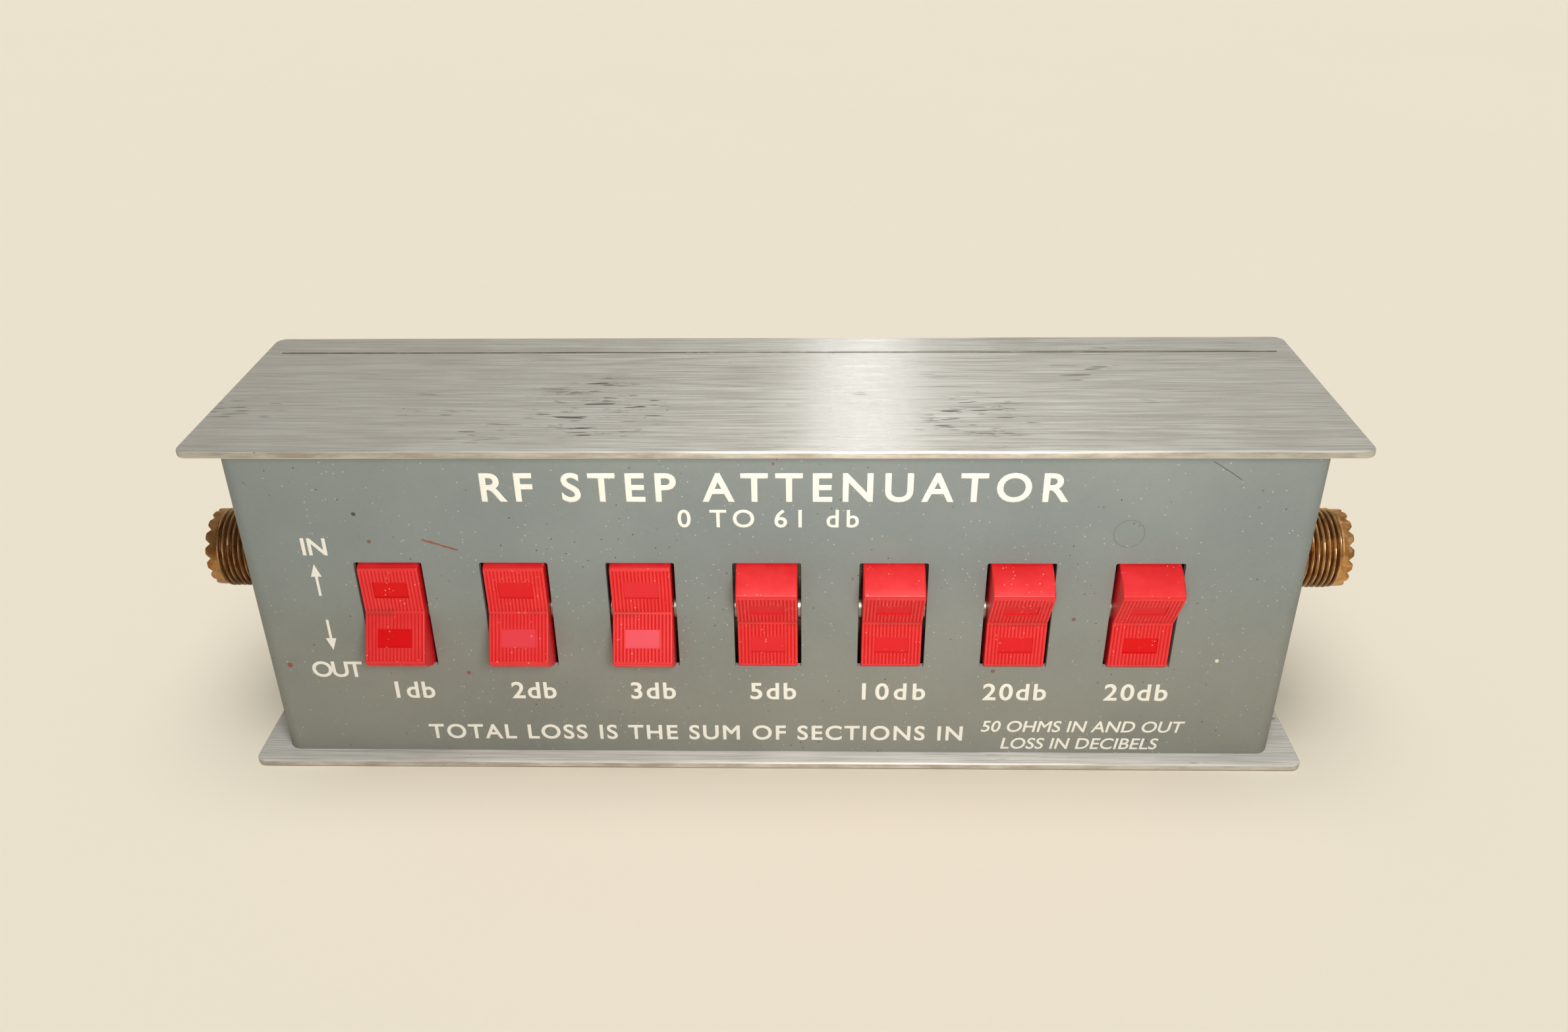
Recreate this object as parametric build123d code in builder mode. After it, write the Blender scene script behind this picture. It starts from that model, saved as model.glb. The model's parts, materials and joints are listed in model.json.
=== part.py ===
"""Seven-section radio-frequency step attenuator in a plated sheet-metal case, in millimetres.

Frame: +X to the right, +Y away from the front panel, +Z up. The origin is the centre of the
underside of the bottom plate. The switches are drawn as they stand: the left ones pressed at
the top (section in circuit), the others pressed at the bottom (section bypassed).
"""
import os
from math import atan2, cos, degrees, radians, sin, sqrt, tan

from build123d import *

# ---- case ---------------------------------------------------------------------------------------
PLATE_LENGTH = 206.0
PLATE_DEPTH = 52.0
PLATE_THICKNESS = 1.5
PLATE_CORNER_RADIUS = 2.2
PLATE_EDGE_RADIUS = 0.45
CASE_HEIGHT = 69.85
BODY_WIDTH = 195.0
BODY_DEPTH = 45.0
SHEET = 1.2
BEND_RADIUS = 2.8
SEAM_FROM_REAR = 8.0
SEAM_WIDTH = 0.3
SEAM_DEPTH = 0.2
SEAM_END_MARGIN = 3.6
CUT_MARGIN = 1.0

BODY_BOTTOM = PLATE_THICKNESS
BODY_TOP = CASE_HEIGHT - PLATE_THICKNESS
FRONT_Y = -BODY_DEPTH / 2
REAR_Y = BODY_DEPTH / 2
WALL_X = BODY_WIDTH / 2

# ---- lips and plate fixings ---------------------------------------------------------------------
LIP_WIDTH = 9.0
LIP_END_GAP = 3.5
FIXING_X = 91.5
FIXING_Y = 14.0
SCREW_RADIUS = 1.5
SCREW_CLEARANCE_RADIUS = 1.7
PAN_HEAD_RADIUS = 2.7
PAN_HEAD_HEIGHT = 1.8
COUNTERSINK_RADIUS = 2.9
COUNTERSINK_ANGLE = 90
PLATE_SCREW_LENGTH = 6.0
STUD_LENGTH = 6.5
NUT_ACROSS_FLATS = 5.5
NUT_HEIGHT = 2.4
REAR_SCREW_LENGTH = 5.0
REAR_SCREW_Z = 24.0
REAR_FLANGE_WIDTH = 10.0
DRIVE_SLOT_WIDTH = 0.8
DRIVE_SLOT_DEPTH = 0.9

# ---- switch row ---------------------------------------------------------------------------------
SWITCH_COUNT = 7
SWITCH_PITCH = 23.2
ROW_CENTRE_X = -0.9
ROW_CENTRE_Z = 33.8
SWITCHED_IN = (1, 2, 3)
OPENING_WIDTH = 12.6
OPENING_HEIGHT = 23.2
OPENING_CORNER = 0.4

# ---- rocker -------------------------------------------------------------------------------------
PIVOT_DEPTH = 3.7
ROCKER_TILT = 14.0
ROCKER_WIDTH = 11.2
ROCKER_HALF_LENGTH = 9.75
ROCKER_FACE_ANGLE = 15.0
VALLEY_OUT = 4.5
ROCKER_TIP_RADIUS = 0.8
ROCKER_SIDE_RADIUS = 0.25
ROCKER_WALL = 1.2
ROCKER_SKIRT = 0.5
ROCKER_SKIN = 1.5
HUB_HALF_WIDTH = 2.6
HUB_DROP = 2.2
TRUNNION_RADIUS = 1.5
TRUNNION_REACH = 0.5
RIB_PITCH = 0.67
RIB_COUNT = 16
RIB_GROOVE_WIDTH = 0.4
RIB_GROOVE_DEPTH = 0.2
RIB_START = 0.25
RIB_END_MARGIN = 0.55
PAD_WIDTH = 6.5
PAD_LENGTH = 3.5
PAD_CENTRE = 4.9
PAD_DEPTH = 0.3
ARM_LENGTH = 6.45
ARM_HALF_WIDTH = 1.4
ARM_BALL_RADIUS = 0.95
ARM_NECK_HALF = 0.5
ARM_NECK_TOP = 4.0
ARM_ROOT_HALF = 1.6

# ---- switch frame, base, slider and terminals ---------------------------------------------------
FRAME_FRONT = 7.5
FRAME_SHEET = 0.8
FRAME_HALF_WIDTH = 7.2
FRAME_HALF_HEIGHT = 16.6
FRAME_CORNER = 1.0
EAR_SHEET = 0.5
EAR_CLEARANCE = 0.08
EAR_RADIUS = 2.5
EAR_FOOT_HALF = 3.4
EAR_BORE_CLEARANCE = 0.05
ARM_WINDOW_HALF_WIDTH = 2.2
ARM_WINDOW_HALF_HEIGHT = 3.2
SKIRT_SHEET = 0.5
SKIRT_HALF_HEIGHT = 4.0
SKIRT_TAB = 1.2
BASE_HALF_WIDTH = 6.2
BASE_HALF_HEIGHT = 11.6
BASE_DEPTH = 5.8
BASE_WALL = 1.2
BASE_FLOOR = 1.6
SLIDER_HALF_WIDTH = 4.85
SLIDER_HALF_HEIGHT = 7.4
SLIDER_FRONT_GAP = 0.2
SLIDER_DEPTH = 3.5
SLIDER_SLOT_DEPTH = 2.9
SLIDER_SLOT_HALF_WIDTH = 1.7
SLIDER_SLOT_HALF_HEIGHT = 1.0
SLIDER_PEG_RADIUS = 0.5
SLIDER_CHAMFER = 0.25
CONTACT_WIDTH = 1.9
CONTACT_LENGTH = 6.4
CONTACT_SHEET = 0.35
CONTACT_DOME_RADIUS = 0.55
CONTACT_DOME_HEIGHT = 0.1
CONTACT_DOME_SPACING = 4.4
TERMINAL_X = 3.0
TERMINAL_PITCH = 4.4
TERMINAL_HEAD_RADIUS = 0.9
TERMINAL_HEAD_HEIGHT = 0.5
TERMINAL_SHANK_RADIUS = 0.5
TERMINAL_FLANGE = 0.4
BLADE_LENGTH = 6.2
BLADE_WIDTH = 1.9
BLADE_SHEET = 0.5
BLADE_HOLE_RADIUS = 0.45
NEAR_HOLE = 2.2
FAR_HOLE = 4.8

# ---- bracket and shields ------------------------------------------------------------------------
BRACKET_HALF_LENGTH = 86.0
BRACKET_HALF_HEIGHT = 28.5
WINDOW_HALF_WIDTH = 6.95
WINDOW_HALF_HEIGHT = 11.9
RIVET_Z = 14.4
RIVET_RADIUS = 1.1
RIVET_HEAD_RADIUS = 1.9
RIVET_HEAD_HEIGHT = 0.5
STANDOFF_Z = 25.5
STANDOFF_ACROSS_FLATS = 5.0
BRACKET_SCREW_LENGTH = 6.0
SHIELD_SHEET = 0.8
SHIELD_DEPTH = 29.0
SHIELD_HALF_HEIGHT = 22.0
SHIELD_FLANGE = 3.2
SHIELD_HOLE_RADIUS = 4.2

# ---- attenuator network -------------------------------------------------------------------------
RESISTOR_RADIUS = 1.15
RESISTOR_LENGTH = 6.3
RESISTOR_END_RADIUS = 0.4
LEAD_RADIUS = 0.3
LINK_RADIUS = 0.35
SERIES_BEHIND = 3.4
SERIES_DROP = 7.2
SERIES_SPREAD = 4.5
SHUNT_X = 8.2
SHUNT_DROP = 13.0
SHUNT_GROUND_X = 7.35
SHUNT_GROUND_DROP = 18.0
WIRE_OVERRUN = 0.6

# ---- coaxial sockets ----------------------------------------------------------------------------
SOCKET_Z = 35.4
SOCKET_REACH = 14.7
BARREL_RADIUS = 7.94
BARREL_BORE_RADIUS = 6.1
UNDERCUT_RADIUS = 7.4
UNDERCUT_WIDTH = 0.6
INNER_FLANGE_RADIUS = 10.4
INNER_FLANGE_THICKNESS = 2.0
INNER_BOSS_LENGTH = 4.0
INNER_BOSS_RADIUS = 7.2
CASTELLATIONS = 16
CASTELLATION_DEPTH = 0.8
CASTELLATION_HALF_ANGLE = 38
WASHER_RADIUS = 10.6
WASHER_THICKNESS = 1.0
WASHER_TEETH = 14
WASHER_TOOTH_NOTCH = 0.9
SOCKET_NUT_FLATS = 19.05
SOCKET_NUT_THICKNESS = 4.0
INSULATOR_RECESS = 2.4
INSULATOR_TAIL = 2.0
CONTACT_RADIUS = 2.55
CONTACT_BORE_RADIUS = 2.0
CONTACT_BORE_LENGTH = 11.0
CONTACT_MOUTH_RECESS = 1.6
CONTACT_SLOT_WIDTH = 0.5
CONTACT_SLOT_LENGTH = 5.0
CONTACT_TAIL_RADIUS = 1.3
CONTACT_TAIL_LENGTH = 5.0
SOLDER_CUP_RADIUS = 0.8
SOLDER_CUP_LENGTH = 3.0

# ---- positions that follow ----------------------------------------------------------------------
PIVOT_Y = FRONT_Y + PIVOT_DEPTH
FRAME_Y = FRONT_Y + FRAME_FRONT
BRACKET_Y = FRAME_Y + FRAME_SHEET
BRACKET_REAR_Y = BRACKET_Y + SHEET
BASE_REAR_Y = BRACKET_Y + BASE_DEPTH
BASE_FLOOR_Y = BASE_REAR_Y - BASE_FLOOR
SLIDER_Y = BRACKET_Y + SLIDER_FRONT_GAP
SLIDER_REAR_Y = SLIDER_Y + SLIDER_DEPTH
BLADE_Y = BASE_REAR_Y + TERMINAL_FLANGE
TIP_UP = ROCKER_HALF_LENGTH * cos(radians(ROCKER_FACE_ANGLE))
TIP_OUT = VALLEY_OUT + ROCKER_HALF_LENGTH * sin(radians(ROCKER_FACE_ANGLE))
ROCKER_SWEEP = sqrt(TIP_UP**2 + TIP_OUT**2)
SWITCH_NUMBERS = range(1, SWITCH_COUNT + 1)
MIDDLE_SWITCH = (SWITCH_COUNT + 1) / 2


def switch_x(number):
    """Centre of a switch, counted from 1 at the left."""
    return ROW_CENTRE_X + (number - MIDDLE_SWITCH) * SWITCH_PITCH


def rest_tilt(number):
    """Tilt of a rocker about +X as drawn: negative is pressed at the top."""
    return -ROCKER_TILT if number in SWITCHED_IN else ROCKER_TILT


def slider_z(number):
    """Height of a slider's centre, which the rocker's arm has pushed down or up."""
    return ROW_CENTRE_Z + ARM_LENGTH * sin(radians(rest_tilt(number)))


def depth_plane(y, x=0.0, z=0.0):
    """Plane facing the rear (+Y), with its own x to the left and its y up, centred at x, z."""
    return Plane(origin=(x, y, z), x_dir=(-1, 0, 0), z_dir=(0, 1, 0))


def side_plane(x, y=0.0, z=0.0):
    """Plane facing +X, with its own x along +Y and its y up."""
    return Plane(origin=(x, y, z), x_dir=(0, 1, 0), z_dir=(1, 0, 0))


def save(builder, name):
    """Label a finished sub-part and write it as one STEP file."""
    builder.part.label = name
    export_step(builder.part, f"parts/{name}.step")


os.makedirs("parts", exist_ok=True)

FIXINGS = [(x, y) for x in (-FIXING_X, FIXING_X) for y in (-FIXING_Y, FIXING_Y)]

# ---- top plate: a flat sheet that overhangs the body, with the scored line near its rear --------
with BuildPart() as top_plate:
    with BuildSketch(Plane.XY.offset(BODY_TOP)):
        RectangleRounded(PLATE_LENGTH, PLATE_DEPTH, PLATE_CORNER_RADIUS)
    extrude(amount=PLATE_THICKNESS)
    fillet(top_plate.faces().sort_by(Axis.Z)[-1].edges(), radius=PLATE_EDGE_RADIUS)
    fillet(top_plate.faces().sort_by(Axis.Z)[0].edges(), radius=PLATE_EDGE_RADIUS)
    with BuildSketch(Plane.XY.offset(CASE_HEIGHT)):
        with Locations((0, PLATE_DEPTH / 2 - SEAM_FROM_REAR)):
            Rectangle(PLATE_LENGTH - 2 * SEAM_END_MARGIN, SEAM_WIDTH)
    extrude(amount=-SEAM_DEPTH, mode=Mode.SUBTRACT)
save(top_plate, "top_plate")

# ---- weld studs that hang from the top plate, and the nuts that hold it to the lips -------------
with BuildPart() as top_plate_studs:
    with BuildSketch(Plane.XY.offset(BODY_TOP)):
        with Locations(*FIXINGS):
            Circle(SCREW_RADIUS)
    extrude(amount=-STUD_LENGTH)
save(top_plate_studs, "top_plate_studs")

with BuildPart() as top_plate_nuts:
    with BuildSketch(Plane.XY.offset(BODY_TOP - SHEET)):
        with Locations(*FIXINGS):
            RegularPolygon(NUT_ACROSS_FLATS / 2, 6, major_radius=False)
            Circle(SCREW_RADIUS, mode=Mode.SUBTRACT)
    extrude(amount=-NUT_HEIGHT)
save(top_plate_nuts, "top_plate_nuts")

# ---- bottom plate: the removable cover, held by countersunk screws from below -------------------
with BuildPart() as bottom_plate:
    with BuildSketch(Plane.XY):
        RectangleRounded(PLATE_LENGTH, PLATE_DEPTH, PLATE_CORNER_RADIUS)
    extrude(amount=PLATE_THICKNESS)
    fillet(bottom_plate.faces().sort_by(Axis.Z)[-1].edges(), radius=PLATE_EDGE_RADIUS)
    fillet(bottom_plate.faces().sort_by(Axis.Z)[0].edges(), radius=PLATE_EDGE_RADIUS)
    with Locations(Plane(origin=(0, 0, 0), x_dir=(1, 0, 0), z_dir=(0, 0, -1))):
        with Locations(*FIXINGS):
            CounterSinkHole(
                SCREW_CLEARANCE_RADIUS,
                COUNTERSINK_RADIUS,
                counter_sink_angle=COUNTERSINK_ANGLE,
            )
save(bottom_plate, "bottom_plate")

with BuildPart() as bottom_plate_screws:
    with BuildSketch(Plane.XY):
        with Locations(*FIXINGS):
            Circle(SCREW_RADIUS)
    extrude(amount=PLATE_SCREW_LENGTH)
    with BuildSketch(Plane.XY):
        with Locations(*FIXINGS):
            Circle(COUNTERSINK_RADIUS)
    extrude(amount=COUNTERSINK_RADIUS - SCREW_RADIUS, taper=COUNTERSINK_ANGLE / 2)
    with BuildSketch(Plane.XY):
        with Locations(*FIXINGS):
            Rectangle(2 * COUNTERSINK_RADIUS, DRIVE_SLOT_WIDTH)
    extrude(amount=DRIVE_SLOT_DEPTH / 2, mode=Mode.SUBTRACT)
save(bottom_plate_screws, "bottom_plate_screws")

# ---- front shell: one sheet folded round the front and both ends, with lips and rear flanges ----
with BuildPart() as front_shell:
    with BuildSketch(Plane.XY.offset(BODY_BOTTOM)) as wrap:
        Rectangle(BODY_WIDTH, BODY_DEPTH)
        with Locations((0, SHEET)):
            Rectangle(BODY_WIDTH - 2 * SHEET, BODY_DEPTH, mode=Mode.SUBTRACT)
        with Locations((0, REAR_Y - SHEET / 2)):
            Rectangle(BODY_WIDTH, SHEET, mode=Mode.SUBTRACT)
        with Locations((0, REAR_Y - 1.5 * SHEET)):
            Rectangle(BODY_WIDTH, SHEET)
            Rectangle(BODY_WIDTH - 2 * REAR_FLANGE_WIDTH, SHEET, mode=Mode.SUBTRACT)
        fillet(wrap.vertices().group_by(Axis.Y)[0], radius=BEND_RADIUS)
        fillet(wrap.vertices().group_by(Axis.Y)[1], radius=BEND_RADIUS - SHEET)
    extrude(amount=BODY_TOP - BODY_BOTTOM)
    for lip_z in (BODY_BOTTOM, BODY_TOP - SHEET):
        with BuildSketch(Plane.XY.offset(lip_z)):
            for side in (-1, 1):
                with Locations((side * (WALL_X - SHEET - LIP_WIDTH / 2), 0)):
                    Rectangle(LIP_WIDTH, BODY_DEPTH - 2 * LIP_END_GAP - 2 * SHEET)
        extrude(amount=SHEET)
    with BuildSketch(Plane.XY.offset(BODY_BOTTOM)):
        with Locations(*FIXINGS):
            Circle(SCREW_RADIUS)
    extrude(amount=SHEET, mode=Mode.SUBTRACT)
    with BuildSketch(Plane.XY.offset(BODY_TOP)):
        with Locations(*FIXINGS):
            Circle(SCREW_CLEARANCE_RADIUS)
    extrude(amount=-SHEET, mode=Mode.SUBTRACT)
    for number in SWITCH_NUMBERS:
        with BuildSketch(depth_plane(FRONT_Y, switch_x(number), ROW_CENTRE_Z)):
            RectangleRounded(OPENING_WIDTH, OPENING_HEIGHT, OPENING_CORNER)
        extrude(amount=SHEET, mode=Mode.SUBTRACT)
    with BuildSketch(side_plane(-WALL_X, 0, SOCKET_Z)):
        Circle(BARREL_RADIUS)
    extrude(amount=BODY_WIDTH, mode=Mode.SUBTRACT)
    with BuildSketch(depth_plane(REAR_Y - 2 * SHEET, 0, (BODY_BOTTOM + BODY_TOP) / 2)):
        with GridLocations(2 * FIXING_X, 2 * REAR_SCREW_Z, 2, 2):
            Circle(SCREW_RADIUS)
    extrude(amount=SHEET, mode=Mode.SUBTRACT)
save(front_shell, "front_shell")

# ---- rear panel and its screws ------------------------------------------------------------------
with BuildPart() as rear_panel:
    with BuildSketch(depth_plane(REAR_Y - SHEET, 0, (BODY_BOTTOM + BODY_TOP) / 2)):
        Rectangle(BODY_WIDTH, BODY_TOP - BODY_BOTTOM)
        with GridLocations(2 * FIXING_X, 2 * REAR_SCREW_Z, 2, 2):
            Circle(SCREW_CLEARANCE_RADIUS, mode=Mode.SUBTRACT)
    extrude(amount=SHEET)
save(rear_panel, "rear_panel")

with BuildPart() as rear_panel_screws:
    with BuildSketch(depth_plane(REAR_Y, 0, (BODY_BOTTOM + BODY_TOP) / 2)):
        with GridLocations(2 * FIXING_X, 2 * REAR_SCREW_Z, 2, 2):
            Circle(SCREW_RADIUS)
    extrude(amount=-REAR_SCREW_LENGTH)
    with BuildSketch(depth_plane(REAR_Y, 0, (BODY_BOTTOM + BODY_TOP) / 2)):
        with GridLocations(2 * FIXING_X, 2 * REAR_SCREW_Z, 2, 2):
            Circle(PAN_HEAD_RADIUS)
    extrude(amount=PAN_HEAD_HEIGHT)
    fillet(rear_panel_screws.edges().group_by(Axis.Y)[-1], radius=PAN_HEAD_HEIGHT / 2)
    with BuildSketch(depth_plane(REAR_Y + PAN_HEAD_HEIGHT, 0, (BODY_BOTTOM + BODY_TOP) / 2)):
        with GridLocations(2 * FIXING_X, 2 * REAR_SCREW_Z, 2, 2):
            Rectangle(2 * PAN_HEAD_RADIUS, DRIVE_SLOT_WIDTH)
    extrude(amount=-DRIVE_SLOT_DEPTH, mode=Mode.SUBTRACT)
save(rear_panel_screws, "rear_panel_screws")

# ---- switch bracket, its clinch standoffs and screws --------------------------------------------
STANDOFF_GAPS = (-2.5, -0.5, 0.5, 2.5)
STANDOFF_X = [gap * SWITCH_PITCH - ROW_CENTRE_X for gap in STANDOFF_GAPS]
STANDOFFS = [(x, z) for x in STANDOFF_X for z in (-STANDOFF_Z, STANDOFF_Z)]

with BuildPart() as switch_bracket:
    with BuildSketch(depth_plane(BRACKET_Y, 0, ROW_CENTRE_Z)):
        with Locations((-ROW_CENTRE_X, 0)):
            Rectangle(2 * BRACKET_HALF_LENGTH, 2 * BRACKET_HALF_HEIGHT)
        for number in SWITCH_NUMBERS:
            with Locations((-switch_x(number), 0)):
                Rectangle(2 * WINDOW_HALF_WIDTH, 2 * WINDOW_HALF_HEIGHT, mode=Mode.SUBTRACT)
            with Locations((-switch_x(number), RIVET_Z), (-switch_x(number), -RIVET_Z)):
                Circle(RIVET_RADIUS, mode=Mode.SUBTRACT)
        with Locations(*STANDOFFS):
            Circle(SCREW_CLEARANCE_RADIUS, mode=Mode.SUBTRACT)
    extrude(amount=SHEET)
save(switch_bracket, "switch_bracket")

with BuildPart() as panel_standoffs:
    with BuildSketch(depth_plane(FRONT_Y + SHEET, 0, ROW_CENTRE_Z)):
        with Locations(*STANDOFFS):
            RegularPolygon(STANDOFF_ACROSS_FLATS / 2, 6, major_radius=False)
            Circle(SCREW_RADIUS, mode=Mode.SUBTRACT)
    extrude(amount=BRACKET_Y - FRONT_Y - SHEET)
save(panel_standoffs, "panel_standoffs")

with BuildPart() as bracket_screws:
    with BuildSketch(depth_plane(BRACKET_REAR_Y, 0, ROW_CENTRE_Z)):
        with Locations(*STANDOFFS):
            Circle(SCREW_RADIUS)
    extrude(amount=-BRACKET_SCREW_LENGTH)
    with BuildSketch(depth_plane(BRACKET_REAR_Y, 0, ROW_CENTRE_Z)):
        with Locations(*STANDOFFS):
            Circle(PAN_HEAD_RADIUS)
    extrude(amount=PAN_HEAD_HEIGHT)
    fillet(bracket_screws.edges().group_by(Axis.Y)[-1], radius=PAN_HEAD_HEIGHT / 2)
    with BuildSketch(depth_plane(BRACKET_REAR_Y + PAN_HEAD_HEIGHT, 0, ROW_CENTRE_Z)):
        with Locations(*STANDOFFS):
            Rectangle(2 * PAN_HEAD_RADIUS, DRIVE_SLOT_WIDTH)
    extrude(amount=-DRIVE_SLOT_DEPTH, mode=Mode.SUBTRACT)
save(bracket_screws, "bracket_screws")

# ---- rivets through each switch frame and the bracket -------------------------------------------
RIVETS = [(-switch_x(number), z) for number in SWITCH_NUMBERS for z in (-RIVET_Z, RIVET_Z)]

with BuildPart() as frame_rivets:
    with BuildSketch(depth_plane(FRAME_Y - RIVET_HEAD_HEIGHT, 0, ROW_CENTRE_Z)):
        with Locations(*RIVETS):
            Circle(RIVET_HEAD_RADIUS)
    extrude(amount=RIVET_HEAD_HEIGHT)
    with BuildSketch(depth_plane(FRAME_Y, 0, ROW_CENTRE_Z)):
        with Locations(*RIVETS):
            Circle(RIVET_RADIUS)
    extrude(amount=BRACKET_REAR_Y - FRAME_Y)
    with BuildSketch(depth_plane(BRACKET_REAR_Y, 0, ROW_CENTRE_Z)):
        with Locations(*RIVETS):
            Circle(RIVET_HEAD_RADIUS)
    extrude(amount=RIVET_HEAD_HEIGHT)
save(frame_rivets, "frame_rivets")

# ---- shield partitions between the sections, each with a spot-welded foot -----------------------
with BuildPart() as shield_partitions:
    for gap in range(SWITCH_COUNT + 1):
        shield_x = switch_x(gap + 0.5)
        with BuildSketch(Plane.XY.offset(ROW_CENTRE_Z - SHIELD_HALF_HEIGHT)):
            with Locations((shield_x - SHIELD_SHEET / 2, BRACKET_REAR_Y)):
                Rectangle(SHIELD_SHEET, SHIELD_DEPTH, align=(Align.MIN, Align.MIN))
                Rectangle(SHIELD_FLANGE + SHIELD_SHEET, SHIELD_SHEET, align=(Align.MIN, Align.MIN))
        extrude(amount=2 * SHIELD_HALF_HEIGHT)
        hole_y = BLADE_Y + FAR_HOLE + LEAD_RADIUS
        with BuildSketch(side_plane(shield_x - SHIELD_SHEET / 2, hole_y, (ROW_CENTRE_Z + SOCKET_Z) / 2)):
            Circle(SHIELD_HOLE_RADIUS)
        extrude(amount=SHIELD_SHEET, mode=Mode.SUBTRACT)
save(shield_partitions, "shield_partitions")


# ---- rocker, slider, slider contacts, frame and base of each switch -----------------------------
def rocker_plane(number, sideways=0.0):
    """Plane across a rocker at its pivot: its x runs up the rocker and its y out of the panel."""
    tilt = radians(rest_tilt(number))
    origin = (switch_x(number) + sideways, PIVOT_Y, ROW_CENTRE_Z)
    return Plane(origin=origin, x_dir=(0, -sin(tilt), cos(tilt)), z_dir=(1, 0, 0))


def face_plane(number, half):
    """Plane across one half of the rocker's front at the valley, looking along that half.

    Its x runs along the pivot and its y into the face; half is 1 for upper, -1 for lower."""
    lie = radians(rest_tilt(number) + half * ROCKER_FACE_ANGLE)
    tilt = radians(rest_tilt(number))
    pivot = Vector(switch_x(number), PIVOT_Y, ROW_CENTRE_Z)
    valley = pivot + Vector(0, -cos(tilt), -sin(tilt)) * VALLEY_OUT
    along = Vector(0, -sin(lie), cos(lie)) * half
    return Plane(origin=valley, x_dir=(half, 0, 0), z_dir=along)


def build_rocker(number):
    """Moulded rocker: two sloping halves, curved ends, hollow back, trunnions and drive arm."""
    skirt_up = sqrt(ROCKER_SWEEP**2 - ROCKER_SKIRT**2)
    pocket_top = VALLEY_OUT - ROCKER_SKIN
    pocket_up = TIP_UP - ROCKER_SKIN
    pocket_out = pocket_top + pocket_up * tan(radians(ROCKER_FACE_ANGLE))
    arc_middle = (degrees(atan2(TIP_OUT, TIP_UP)) + degrees(atan2(-ROCKER_SKIRT, skirt_up))) / 2
    arc_up = ROCKER_SWEEP * cos(radians(arc_middle))
    arc_out = ROCKER_SWEEP * sin(radians(arc_middle))
    with BuildPart() as rocker:
        with BuildSketch(rocker_plane(number)) as section:
            with BuildLine():
                Polyline((-TIP_UP, TIP_OUT), (0, VALLEY_OUT), (TIP_UP, TIP_OUT))
                ThreePointArc((TIP_UP, TIP_OUT), (arc_up, arc_out), (skirt_up, -ROCKER_SKIRT))
                Polyline(
                    (skirt_up, -ROCKER_SKIRT),
                    (HUB_HALF_WIDTH + HUB_DROP, -ROCKER_SKIRT),
                    (HUB_HALF_WIDTH, -HUB_DROP),
                    (-HUB_HALF_WIDTH, -HUB_DROP),
                    (-HUB_HALF_WIDTH - HUB_DROP, -ROCKER_SKIRT),
                    (-skirt_up, -ROCKER_SKIRT),
                )
                ThreePointArc((-skirt_up, -ROCKER_SKIRT), (-arc_up, arc_out), (-TIP_UP, TIP_OUT))
            make_face()
            fillet(section.vertices().sort_by(Axis.Y)[-2:], radius=ROCKER_TIP_RADIUS)
        extrude(amount=ROCKER_WIDTH / 2, both=True)
        for side in (0, -1):
            fillet(rocker.faces().sort_by(Axis.X)[side].edges(), radius=ROCKER_SIDE_RADIUS)
        with BuildSketch(rocker_plane(number)):
            Polygon(
                (0, pocket_top),
                (pocket_up, pocket_out),
                (skirt_up - ROCKER_SKIN, -HUB_DROP - CUT_MARGIN),
                (ROCKER_SKIN - skirt_up, -HUB_DROP - CUT_MARGIN),
                (-pocket_up, pocket_out),
                align=None,
            )
        extrude(amount=ROCKER_WIDTH / 2 - ROCKER_WALL, both=True, mode=Mode.SUBTRACT)
        with BuildSketch(rocker_plane(number)):
            Polygon(
                (-ARM_ROOT_HALF, pocket_top + ROCKER_SKIN / 2),
                (-ARM_NECK_HALF, -ARM_NECK_TOP),
                (-ARM_NECK_HALF, -ARM_LENGTH),
                (ARM_NECK_HALF, -ARM_LENGTH),
                (ARM_NECK_HALF, -ARM_NECK_TOP),
                (ARM_ROOT_HALF, pocket_top + ROCKER_SKIN / 2),
                align=None,
            )
            with Locations((0, -ARM_LENGTH)):
                Circle(ARM_BALL_RADIUS)
        extrude(amount=ARM_HALF_WIDTH, both=True)
        for side in (-1, 1):
            with BuildSketch(rocker_plane(number, side * ROCKER_WIDTH / 2)):
                Circle(TRUNNION_RADIUS)
            extrude(amount=side * TRUNNION_REACH)
        for half in (1, -1):
            across = face_plane(number, half)
            with BuildSketch(across.offset(RIB_START)):
                with GridLocations(RIB_PITCH, RIB_PITCH, RIB_COUNT, 1):
                    Polygon(
                        (-RIB_GROOVE_WIDTH, -RIB_GROOVE_DEPTH),
                        (RIB_GROOVE_WIDTH, -RIB_GROOVE_DEPTH),
                        (0, RIB_GROOVE_DEPTH),
                        align=None,
                    )
            extrude(amount=ROCKER_HALF_LENGTH - RIB_START - RIB_END_MARGIN, mode=Mode.SUBTRACT)
            with BuildSketch(across.offset(PAD_CENTRE - PAD_LENGTH / 2)):
                Rectangle(PAD_WIDTH, 2 * PAD_DEPTH)
            extrude(amount=PAD_LENGTH, mode=Mode.SUBTRACT)
    save(rocker, f"rocker_{number}")


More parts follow.
